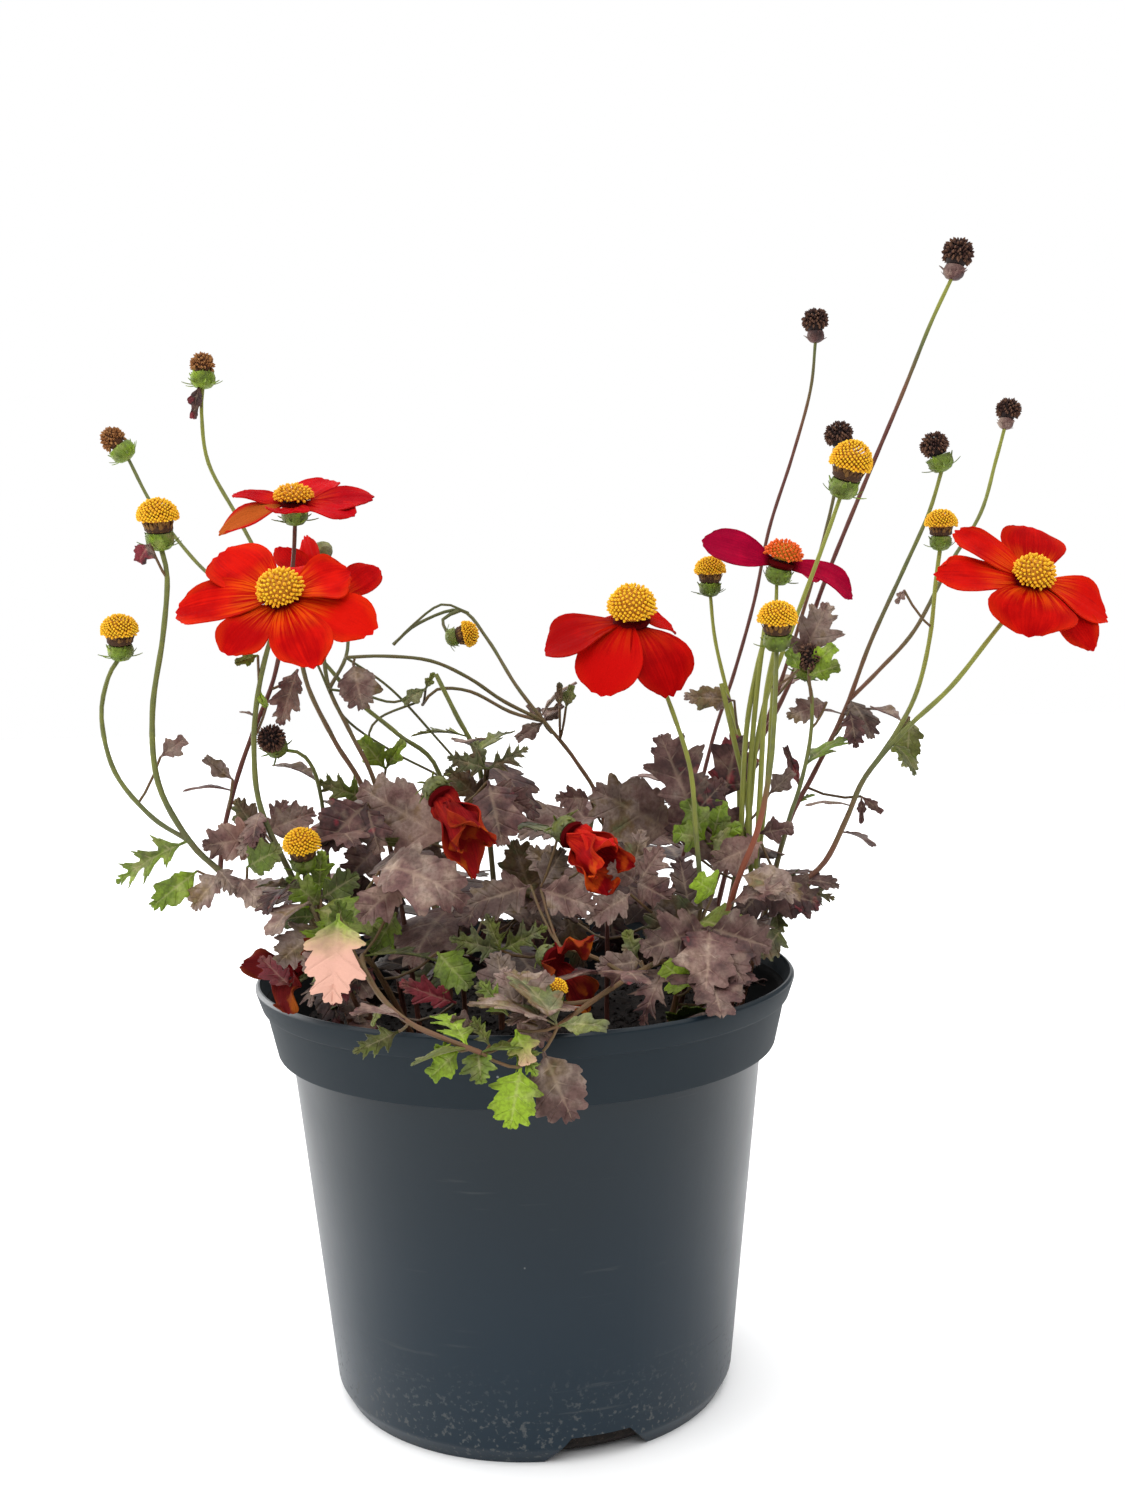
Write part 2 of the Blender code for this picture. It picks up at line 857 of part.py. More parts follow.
def build_pot(parts, cutters):
    """The moulded pot: a turned shell, with drain arches and drain holes."""
    pot = turned("pot", ((0.0, POT_OUTLINE[0][1]),) + POT_OUTLINE + ((0.0, 0.0),), parts)
    pot.data.materials.append(material("pot", "pot"))
    inner = cavity_outline(0.0)
    mouth = (inner[0][0], POT_OUTLINE[0][1] + 5.0)
    hollow = turned(
        "pot_hollow", [(0.0, mouth[1]), mouth] + inner + [(0.0, POT_FLOOR)], cutters
    )
    arches = new_collection("arch_roofs", cutters)
    openings = new_collection("drain_openings", cutters)
    for index, heading in enumerate(ARCH_HEADINGS):
        arch_block(f"arch_roof_{index}", heading, POT_WALL, arches)
        arch_block(f"arch_{index}", heading, 0.0, openings)
        turn = math.radians(heading + 60.0)
        place = (DRAIN_RING * math.cos(turn), DRAIN_RING * math.sin(turn))
        peg(f"drain_{index}", place, DRAIN_RADIUS, -5.0, POT_FLOOR + 5.0, openings, 10)
    cut(hollow, arches)
    cut(pot, hollow)
    cut(pot, openings)


def soil_height(x, y):
    """The level of the soil's surface, with bumps that follow a formula."""
    wave = math.sin(0.11 * x + 1.3) * math.cos(0.13 * y - 0.4) + 0.6 * math.sin(0.27 * x - 0.21 * y)
    return SOIL_LEVEL + SOIL_BUMP * wave / 1.6


def build_soil(parts, cutters, roots):
    """The soil: a turned plug that follows the pot's inside, bumpy above, with a hole for each stem."""
    inner = [point for point in cavity_outline(GAP) if point[1] < SOIL_LEVEL - 3.0]
    above, below = POT_OUTLINE[3:5]
    slope = (above[0] - below[0]) / (above[1] - below[1])
    edge = inner[0][0] + (SOIL_LEVEL - inner[0][1]) * slope
    rings = [(radius, SOIL_LEVEL) for radius in SOIL_RINGS]
    plug = turned("soil_plug", rings + [(edge, SOIL_LEVEL)] + inner + [(0.0, POT_FLOOR + GAP)], cutters)
    mesh = evaluated_mesh(plug)
    discard([plug])
    for vertex in mesh.vertices:
        if abs(vertex.co.z - SOIL_LEVEL * MM) < 0.01 * MM:
            vertex.co.z = soil_height(vertex.co.x / MM, vertex.co.y / MM) * MM
    soil = link("soil", mesh, parts, "soil")
    holes = new_collection("stem_holes", cutters)
    for index, heading in enumerate(ARCH_HEADINGS):
        arch_block(f"soil_arch_{index}", heading, POT_WALL + GAP, holes)
    for name, place, radius in roots:
        hole = (radius + GAP + 0.1) / HOLE_SIDES_FACTOR
        peg(f"hole_{name}", place, hole, place[2] - ROOT_DEPTH - 4.0 - GAP, place[2] + 10.0, holes)
    cut(soil, holes)


def curve_point(route, at):
    """A point on the smooth curve through a route's points, at index plus part."""
    index = min(int(at), len(route) - 2)
    part = at - index
    second = Vector(route[index])
    third = Vector(route[index + 1])
    first = Vector(route[index - 1]) if index > 0 else 2 * second - third
    fourth = Vector(route[index + 2]) if index + 2 < len(route) else 2 * third - second
    return 0.5 * (
        2 * second
        + (third - first) * part
        + (2 * first - 5 * second + 4 * third - fourth) * part**2
        + (3 * second - first - 3 * third + fourth) * part**3
    )


def sample_route(route):
    """Points along the smooth curve, about one sample length apart."""
    points = []
    for index in range(len(route) - 1):
        span = (Vector(route[index + 1]) - Vector(route[index])).length
        steps = max(1, round(span / SAMPLE))
        points.extend(curve_point(route, index + step / steps) for step in range(steps))
    points.append(Vector(route[-1]))
    return thinned(points)


def thinned(points):
    """Leave out the points that a straight run passes within a small distance of."""
    if len(points) < 3:
        return points
    run = points[-1] - points[0]
    strays = [(point - points[0]).cross(run).length / run.length for point in points[1:-1]]
    furthest = max(range(len(strays)), key=strays.__getitem__)
    if strays[furthest] < STRAIGHT:
        return [points[0], points[-1]]
    return thinned(points[: furthest + 2])[:-1] + thinned(points[furthest + 1:])


def tube(name, points, radius, taper, collection):
    """A stalk as a closed tube along its points, thinner towards its end."""
    curve = bpy.data.curves.new(name, "CURVE")
    curve.dimensions = "3D"
    curve.bevel_depth = radius * MM
    curve.bevel_resolution = 0
    curve.use_fill_caps = True
    spline = curve.splines.new("POLY")
    spline.points.add(len(points) - 1)
    for index, point in enumerate(points):
        spline.points[index].co = (*(point * MM), 1.0)
        spline.points[index].radius = 1.0 - taper * index / (len(points) - 1)
    made = bpy.data.objects.new(name, curve)
    collection.objects.link(made)
    mesh = evaluated_mesh(made)
    mesh.transform(made.matrix_world)
    discard([made])
    bm = bmesh.new()
    bm.from_mesh(mesh)
    bmesh.ops.remove_doubles(bm, verts=bm.verts, dist=0.00001)
    bmesh.ops.recalc_face_normals(bm, faces=bm.faces)
    return link(name, to_mesh(name, bm), collection)


def facing(heading, rise):
    """The turn that takes +Z to a heading and rise, with +X on its lower side."""
    turn = Matrix.Rotation(math.radians(heading), 4, "Z")
    return turn @ Matrix.Rotation(math.radians(90.0 - rise), 4, "Y")


def growing(heading, rise, roll):
    """The turn that takes +X to a heading and rise, rolled about itself."""
    turn = Matrix.Rotation(math.radians(heading), 4, "Z")
    lift = Matrix.Rotation(math.radians(-rise), 4, "Y")
    return turn @ lift @ Matrix.Rotation(math.radians(roll), 4, "X")


def bent(length, along, droop):
    """Where a rib that droops evenly gets to, and the way it then points."""
    bend = math.radians(droop if abs(droop) > 1.0 else 1.0) / length
    angle = bend * along
    return Vector((math.sin(angle), 0.0, math.cos(angle) - 1.0)) / bend, angle


def blade(name, form, length, breadth, droop, collection):
    """A leaf or petal: rows across a drooping rib, folded along it, given its thickness."""
    bm = bmesh.new()
    rows = []
    for along, half, forward in form.rows:
        row = []
        for side in (-1, 0, 1):
            reach = max(half * breadth, LEAF_STALK) * side
            place, angle = bent(length, (along + forward * abs(side)) * length, droop)
            up = Vector((math.sin(angle), 0.0, math.cos(angle))) * form.fold * abs(reach)
            row.append(bm.verts.new((place + Vector((0.0, reach, 0.0)) + up) * MM))
        rows.append(row)
    tip = bm.verts.new(bent(length, form.tip * length, droop)[0] * MM)
    for lower, upper in zip(rows, rows[1:]):
        bm.faces.new((lower[0], lower[1], upper[1]))
        bm.faces.new((lower[0], upper[1], upper[0]))
        bm.faces.new((lower[1], lower[2], upper[1]))
        bm.faces.new((lower[2], upper[2], upper[1]))
    bm.faces.new((rows[-1][0], rows[-1][1], tip))
    bm.faces.new((rows[-1][1], rows[-1][2], tip))
    bmesh.ops.recalc_face_normals(bm, faces=bm.faces)
    made = link(name, to_mesh(name, bm), collection)
    thick = made.modifiers.new("thickness", "SOLIDIFY")
    thick.thickness = BLADE * MM
    thick.offset = 0.0
    return made


def rings(name, sections, matrix, collection, colour=None):
    """A closed solid through rings of alternate radii: each section is height, radius and spur radius."""
    bm = bmesh.new()
    loops = []
    for height, radius, spur in sections:
        loop = []
        for index in range(RING_SIDES):
            reach = radius if index % 2 else spur
            turn = 2 * math.pi * index / RING_SIDES
            place = Vector((reach * math.cos(turn), reach * math.sin(turn), height)) * MM
            loop.append(bm.verts.new(matrix @ place))
        loops.append(loop)
    for lower, upper in zip(loops, loops[1:]):
        for index in range(RING_SIDES):
            after = (index + 1) % RING_SIDES
            bm.faces.new((lower[index], lower[after], upper[after], upper[index]))
    bm.faces.new(list(reversed(loops[0])))
    bm.faces.new(loops[-1])
    return link(name, to_mesh(name, bm), collection, colour)


def head_frame(head):
    """The placing of a head: local +Z is the way it faces, and its zero is the top of its green cup."""
    drop = HEAD_DROP[head.kind] * head.size
    turn = facing(head.heading, head.rise)
    base = Vector(head.middle) - turn.to_3x3() @ Vector((0.0, 0.0, drop))
    return Matrix.Translation(base * MM) @ turn


def cup_foot(head):
    """How far below its top a green cup begins."""
    return -CUP_HEIGHT * head.size * head.cup


def cup_sections(head):
    """The green cup under a head, with a star of narrow bracts round it."""
    top = CUP_RADIUS * head.size * head.cup
    low = cup_foot(head)
    upper = [(low * part, top * near, top * far) for part, near, far in CUP_FORM]
    return [(low, CUP_STALK, CUP_STALK)] + upper


def bodies(bm):
    """The separate bodies of a bmesh, as lists of faces, smallest first."""
    left = set(bm.faces)
    found = []
    while left:
        body = [left.pop()]
        for face in body:
            for edge in face.edges:
                for other in edge.link_faces:
                    if other in left:
                        left.remove(other)
                        body.append(other)
        found.append(body)
    return sorted(found, key=len)


def keep_main_body(mesh):
    """Keep a union's largest body, and weld its slivers where that leaves it closed and whole."""
    bm = bmesh.new()
    bm.from_mesh(mesh)
    loose = [face for body in bodies(bm)[:-1] for face in body]
    bmesh.ops.delete(bm, geom=loose, context="FACES")
    for reach in WELDS:
        welded = bm.copy()
        bmesh.ops.remove_doubles(welded, verts=welded.verts, dist=reach * MM)
        bmesh.ops.dissolve_limit(welded, angle_limit=SAME_FACE, verts=welded.verts, edges=welded.edges)
        closed = all(edge.is_manifold for edge in welded.edges)
        if closed and len(bodies(welded)) == 1:
            welded.to_mesh(mesh)
            break
    else:
        bm.to_mesh(mesh)
    bm.free()


def fuse(name, base, others):
    """Join a base object with a collection of others by one union, and remove them."""
    union = base.modifiers.new("join", "BOOLEAN")
    union.operation = "UNION"
    union.operand_type = "COLLECTION"
    union.collection = others
    mesh = evaluated_mesh(base)
    mesh.name = name
    discard([base] + list(others.objects))
    bpy.data.collections.remove(others)
    keep_main_body(mesh)
    return mesh


def build_stem(name, stalks, parts, workshop):
    """A leafy stem: its stalks, leaves and green cups in one body."""
    others = new_collection(f"{name}_pieces", workshop)
    base = None
    for number, stalk in enumerate(stalks):
        route = list(stalk.route)
        if stalk.carries in HEADS:
            frame = head_frame(HEADS[stalk.carries])
            low = cup_foot(HEADS[stalk.carries]) + CUP_SINK
            route.append(tuple(frame @ (Vector((0.0, 0.0, low)) * MM) / MM))
            rings(f"{name}_cup_{number}", cup_sections(HEADS[stalk.carries]), frame, others)
        if stalk.carries == "bud":
            bud = Matrix.Translation(Vector(route[-1]) * MM) @ facing(BUD_HEADING, BUD_RISE)
            rings(f"{name}_bud", BUD_SECTIONS, bud, others)
        points = sample_route(route)
        if number == 0:
            foot = points[0] - Vector((0.0, 0.0, ROOT_DEPTH + 4.0))
            points.insert(0, foot)
            base = tube(name, points, stalk.radius, MAIN_TAPER, workshop)
        else:
            tube(f"{name}_branch_{number}", points, stalk.radius, BRANCH_TAPER, others)
        for index, leaf in enumerate(stalk.leaves):
            plain = leaf.form == "lobed" and leaf.length < LARGE_LEAF
            form = LEAF_FORMS["cut" if plain else leaf.form]
            piece = f"{name}_leaf_{number}_{index}"
            made = blade(piece, form, leaf.length, leaf.length, leaf.droop, others)
            turn = growing(leaf.heading, leaf.rise, leaf.roll)
            made.data.transform(Matrix.Translation(curve_point(route, leaf.at) * MM) @ turn)
    return link(name, fuse(name, base, others), parts, "foliage")


def build_petals(name, head, petals, parts, workshop):
    """A ring of petals on its hub, every other petal a little higher at the root."""
    frame = head_frame(head)
    withered = head.kind == "withered"
    low = GAP
    high = GAP + HUB_HEIGHT
    wide = HUB_RADIUS * head.size
    sections = [(low, wide * 0.9, wide * 0.9), (high, wide, wide)]
    if withered:
        sections.append((high + WITHERED_DOME, wide * 0.5, wide * 0.5))
    base = rings(f"{name}_hub", sections, frame, workshop)
    others = new_collection(f"{name}_pieces", workshop)
    for index, petal in enumerate(petals):
        piece = f"{name}_{index}"
        made = blade(piece, PETAL_FORM, petal.length, petal.width, petal.droop, others)
        roll = math.radians(petal.roll)
        layer = ROLLED_LAYER if petal.roll else PETAL_LAYERS[index % 2]
        turn = Matrix.Rotation(math.radians(petal.turn), 4, "Z")
        seat = Matrix.Translation(Vector((PETAL_SEAT, 0.0, GAP + layer)) * MM)
        tilt = Matrix.Rotation(math.radians(-petal.lift), 4, "Y")
        made.data.transform(frame @ turn @ seat @ tilt @ Matrix.Rotation(roll, 4, "X"))
    colour = "petal_magenta" if name == "petals_magenta" else "petal_dry" if withered else "petal_red"
    return link(name, fuse(name, base, others), parts, colour)


def turned_head(name, head, form, start, radius, tall, colour, parts):
    """A head of florets or seeds, as relief, from one of the turned forms."""
    size = radius * head.size
    sections = [(start + part * size * tall, near * size, far * size) for part, near, far in form]
    return rings(name, sections, head_frame(head), parts, colour)


def smooth_round(made, angle):
    """Shade an object smooth but for its sharp edges."""
    made.data.shade_smooth()
    made.data.set_sharp_from_angle(angle=math.radians(angle))


def main():
    """Build every piece of the potted bidens."""
    for old in list(bpy.data.objects):
        bpy.data.objects.remove(old)
    scene = bpy.context.scene.collection
    parts = new_collection("potted_bidens", scene)
    cutters = new_collection("cutters", scene)
    workshop = new_collection("workshop", scene)
    for name, stalks in STEMS.items():
        build_stem(name, stalks, parts, workshop)
    for name, head in HEADS.items():
        if head.kind == "bloom":
            build_petals(f"petals_{name}", head, PETALS[name], parts, workshop)
            turned_head(
                f"disc_{name}", head, DISC_FORM, DISC_START, DISC_RADIUS, head.dome, "disc_yellow", parts
            )
        elif head.kind == "withered":
            build_petals(name, head, PETALS[name], parts, workshop)
        elif head.kind == "yellow":
            turned_head(
                f"head_{name}", head, YELLOW_FORM, GAP, DISC_RADIUS, 1.0, "disc_yellow", parts
            )
        else:
            turned_head(f"seed_{name}", head, SEED_FORM, GAP, SEED_RADIUS, 1.0, "seed_brown", parts)
    bpy.data.collections.remove(workshop)
    build_pot(parts, cutters)
    roots = [(name, stalks[0].route[0], stalks[0].radius) for name, stalks in STEMS.items()]
    build_soil(parts, cutters, roots)
    hide_cutters(cutters)
    for made in parts.objects:
        smooth_round(made, 40.0)


main()
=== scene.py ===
"""Potted bidens: the dressed part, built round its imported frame.

Sizes in the tables are in millimetres and go through MM. Angles are in degrees: a heading turns from +X
towards +Y, and a rise lifts from the level. The pot stands on its base at the origin, and -Y faces the
camera.
"""

import logging
import math
import random
from dataclasses import dataclass
from enum import Enum

import bmesh
import bpy
import numpy as np
from mathutils import Matrix, Vector


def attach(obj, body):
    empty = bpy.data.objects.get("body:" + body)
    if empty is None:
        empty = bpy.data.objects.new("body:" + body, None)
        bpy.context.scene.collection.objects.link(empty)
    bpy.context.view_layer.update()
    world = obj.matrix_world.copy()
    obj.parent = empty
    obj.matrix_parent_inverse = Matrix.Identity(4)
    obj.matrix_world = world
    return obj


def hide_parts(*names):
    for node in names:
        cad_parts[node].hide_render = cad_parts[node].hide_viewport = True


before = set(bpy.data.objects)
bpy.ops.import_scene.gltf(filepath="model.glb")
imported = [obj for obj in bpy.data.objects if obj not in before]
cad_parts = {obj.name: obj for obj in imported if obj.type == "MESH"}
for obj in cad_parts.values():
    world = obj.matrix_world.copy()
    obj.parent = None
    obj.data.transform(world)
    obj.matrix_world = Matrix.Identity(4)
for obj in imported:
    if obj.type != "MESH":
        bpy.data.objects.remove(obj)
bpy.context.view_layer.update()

log = logging.getLogger("potted_bidens")

MM = 0.001
ROOT = "root"
GOLDEN_ANGLE = math.pi * (3.0 - math.sqrt(5.0))
Row = tuple[float, float, float]
Rgb = Row
Outline = list[tuple[float, float]]
Shape = tuple[np.ndarray, list]
Socket = bpy.types.NodeSocket
Value = Socket | float | Row


class Kind(Enum):
    """What a stalk carries."""

    BLOOM = "bloom"
    YELLOW = "yellow"
    SEED = "seed"
    WITHERED = "withered"


class Slot(Enum):
    """The record's material slots."""

    POT = "pot"
    SOIL = "soil"
    FOLIAGE = "foliage"
    RED = "petal_red"
    MAGENTA = "petal_magenta"
    DRY = "petal_dry"
    YELLOW = "floret_yellow"
    SEED = "seed_brown"


class Mark(Enum):
    """Named attributes that the finishes read."""

    TONE = "tone"
    BLUSH = "blush"
    VEIN = "vein"
    SHADE = "shade"
    RISE = "rise"


@dataclass(frozen=True)
class Head:
    """What a stalk carries: kind, middle, facing, size, and the shares of it that cup and dome take."""

    kind: Kind
    middle: Row
    heading: float
    rise: float
    size: float = 1.0
    cup: float = 1.0
    dome: float = 1.25


@dataclass(frozen=True)
class Petal:
    """A petal: its turn round the head, reach, width, lift at the root, droop, roll and share of ochre."""

    turn: float
    length: float
    width: float
    lift: float
    droop: float
    roll: float = 0.0
    ochre: float = 0.0


@dataclass(frozen=True)
class Leaf:
    """A leaf: the place along its stalk and how it grows."""

    at: float
    heading: float
    rise: float
    length: float
    form: str = "lobed"
    droop: float = 35.0
    roll: float = 0.0
    tone: float | None = None


@dataclass(frozen=True)
class Frond:
    """A leaf of the crown, from its root to its tip: tone, form, breadth, droop and share that faces -Y."""

    root: Row
    tip: Row
    tone: float
    form: str = "lobed"
    wide: float = 1.0
    droop: float = 25.0
    front: float = 0.9
    blush: float = 0.0

    def placing(self) -> tuple[Matrix, float]:
        """Its place.

        Returns:
            The placing, which takes +X along it and +Z to its upper side, and its length.
        """
        chord = Vector(self.tip) - Vector(self.root)
        half = math.radians(self.droop) / 2
        straight = chord.normalized()
        toward = Vector((0.0, -self.front, 1.0 - self.front))
        over = (toward - straight * toward.dot(straight)).normalized()
        along = straight * math.cos(half) + over * math.sin(half)
        upper = over * math.cos(half) - straight * math.sin(half)
        turn = Matrix((along, upper.cross(along), upper)).transposed().to_4x4()
        return Matrix.Translation(self.root) @ turn, chord.length * half / math.sin(half)


@dataclass(frozen=True)
class Stalk:
    """A stem or branch: its radius, its route, its leaves and what it carries."""

    radius: float
    route: tuple[Row, ...]
    leaves: tuple[Leaf, ...] = ()
    carries: str = ""


CUP_HEIGHT = 5.5
CUP_RADIUS = 4.2
CROWN_TOP = 186.0
HEAD_DROP: dict[Kind, float] = {Kind.BLOOM: 4.2, Kind.YELLOW: 4.6, Kind.SEED: 4.0, Kind.WITHERED: 2.0}
# The heights between which a stem, or the branch that carries a head, turns from maroon to green, and how
# far it gets, 1 being yellow green
USUAL_TURN = (100.0, 200.0, 0.6)
STALK_TURN: dict[str, Row] = {
    "runner_left": (60.0, 240.0, 0.6),
    "runner_right": (60.0, 240.0, 0.6),
    "stem_wiry": (140.0, 270.0, 0.6),
    "stem_right_tallest": (305.0, 350.0, 0.90),
    "stem_back_tall": (295.0, 340.0, 0.6),
    "stem_right_behind": (210.0, 310.0, 0.6),
    "stem_right_pair": (190.0, 300.0, 0.85),
    "stem_right_bloom": (150.0, 230.0, 0.85),
    "stem_left_tall": (150.0, 300.0, 0.75),
    "stem_left_back": (140.0, 300.0, 0.8),
    "stem_right_high": (140.0, 185.0, 1.0),
    "stem_right_inner": (120.0, 165.0, 0.9),
    "stem_magenta": (140.0, 185.0, 1.0),
    "stem_centre": (120.0, 190.0, 0.75),
    "left_high": (262.0, 330.0, 0.5),
}
# A stem that is flushed orange red from one height to another, and over how much it fades
FLUSHED: dict[str, tuple[float, float]] = {"stem_right_front": (145.0, 196.0)}
FLUSH_FADE = 14.0
# A seed head's cup is young and green above the first share, old and ragged below the second
YOUNG_CUP = 0.9
OLD_CUP = 0.7
LEAF_BREADTH = 0.90
STALK_SHARE = 0.92

HEADS: dict[str, Head] = {
    "left_front": Head(Kind.BLOOM, (-67, -45, 253), -95, 46, 1.12),
    "left_high": Head(Kind.BLOOM, (-69, 5, 283), -88, 72, 1.0, 1.0, 0.8),
    "left_back": Head(Kind.BLOOM, (-61, 16, 252), -85, 52, dome=0.6),
    "centre": Head(Kind.BLOOM, (34, -30, 245), -92, 62, 1.24, 0.9, 1.7),
    "magenta": Head(Kind.BLOOM, (86, 12, 261), -40, 72),
    "right": Head(Kind.BLOOM, (157, -20, 253), -80, 46, 1.06),
    "left_upper": Head(Kind.YELLOW, (-104, -30, 275), -90, 76),
    "left_outer": Head(Kind.YELLOW, (-119, -20, 242), -80, 74, 0.92),
    "left_low": Head(Kind.YELLOW, (-64, -42, 179), -90, 68, 0.9),
    "right_high": Head(Kind.YELLOW, (104, -7, 288), -50, 68, 1.1, dome=1.65),
    "right_front": Head(Kind.YELLOW, (78, -25, 241), -90, 74),
    "right_outer": Head(Kind.YELLOW, (137, 12, 270), -90, 84, 0.85),
    "lying": Head(Kind.YELLOW, (-17, 35, 238), -10, 12, 0.72),
    "right_inner": Head(Kind.YELLOW, (64, 26, 257), -90, 82, 0.85),
    "rim_bud": Head(Kind.YELLOW, (8, -79, 143), -90, 70, 0.5),
    "left_tall": Head(Kind.SEED, (-103, 45, 331), 90, 86, 1.0, 0.95),
    "left_far": Head(Kind.SEED, (-131, 30, 305), 190, 52, 1.0, 0.95),
    "left_dark": Head(Kind.SEED, (-75, -21, 209), -100, 34, 1.05, 0.8),
    "back_tall": Head(Kind.SEED, (107, 66, 345), 90, 86, 1.15, 0.62),
    "right_tallest": Head(Kind.SEED, (150, 38, 361.5), 10, 76, 1.35, 0.62),
    "right_behind": Head(Kind.SEED, (110, 42, 303), 180, 80, 1.2, 0.62),
    "right_middle": Head(Kind.SEED, (138, 25, 297), 170, 70, 1.15, 0.85),
    "right_far": Head(Kind.SEED, (172, 55, 311.5), 30, 74, 1.05, 0.6),
    "right_low": Head(Kind.SEED, (92, -2, 229), -85, 40, 1.1, 0.9),
    "withered_left": Head(Kind.WITHERED, (-23, -38, 191), -50, -40),
    "withered_centre": Head(Kind.WITHERED, (15, -38, 179), -48, -24),
    "withered_front": Head(Kind.WITHERED, (8, -64, 148), -50, -8, 0.8),
    "withered_rim": Head(Kind.WITHERED, (-66, -50, 145), -125, 25, 0.75),
}

PETALS: dict[str, tuple[Petal, ...]] = {
    "left_front": (
        Petal(-132, 26, 20, 6, 10), Petal(-86, 29, 19, 4, 18), Petal(-32, 22, 16, 6, 18),
        Petal(24, 27, 18, 4, 18), Petal(70, 26, 18, 2, 24), Petal(117, 18, 20, 6, 16),
        Petal(180, 17, 15, 2, 44),
    ),
    "left_high": (
        Petal(-102, 17, 10, 14, 4, -8), Petal(-68, 23, 10, 0, 46, -20, 0.85), Petal(-6, 12, 14, 8, 6),
        Petal(58, 20, 13, 3, 14, 10), Petal(84, 22, 15, 7, 4, 14), Petal(150, 17, 16, 12, 4),
    ),
    "left_back": (
        Petal(-162, 27, 9, 16, 6, -50), Petal(130, 20, 12, 10, 4, 20), Petal(165, 14, 13, 8, 6),
        Petal(-146, 25, 12, 14, 4),
    ),
    "centre": (
        Petal(-76, 25, 21, 4, 36), Petal(-24, 26, 21, -6, 52), Petal(28, 26, 20, -4, 56),
        Petal(100, 12, 12, -6, 50), Petal(-160, 15, 14, -6, 62),
    ),
    "magenta": (
        Petal(-142, 24, 15, 9, 10, -44), Petal(34, 25, 14, 12, 58, 30), Petal(84, 17, 13, 2, 30),
        Petal(140, 19, 14, 4, 26),
    ),
    "right": (
        Petal(160, 21, 21, 14, 8), Petal(-138, 25, 14, 10, 10), Petal(-96, 28, 17, 8, 14),
        Petal(-20, 21, 28, 8, 24), Petal(30, 26, 15, 0, 30), Petal(64, 24, 18, 4, 36),
    ),
    "withered_left": (
        Petal(-75, 21, 14, 80, -6), Petal(10, 25, 15, 74, -4), Petal(95, 22, 13, 78, -6),
        Petal(180, 18, 12, 80, -8),
    ),
    "withered_centre": (
        Petal(-80, 20, 15, 76, -4), Petal(0, 20, 16, 70, 6), Petal(85, 21, 14, 78, -4),
        Petal(180, 17, 12, 78, -6),
    ),
    "withered_front": (
        Petal(-70, 14, 11, 54, 20), Petal(30, 16, 12, 44, 30), Petal(150, 13, 10, 60, 0),
    ),
    "withered_rim": (
        Petal(-80, 14, 10, 42, 20), Petal(20, 13, 11, 34, 30), Petal(120, 12, 9, 50, 10),
    ),
}

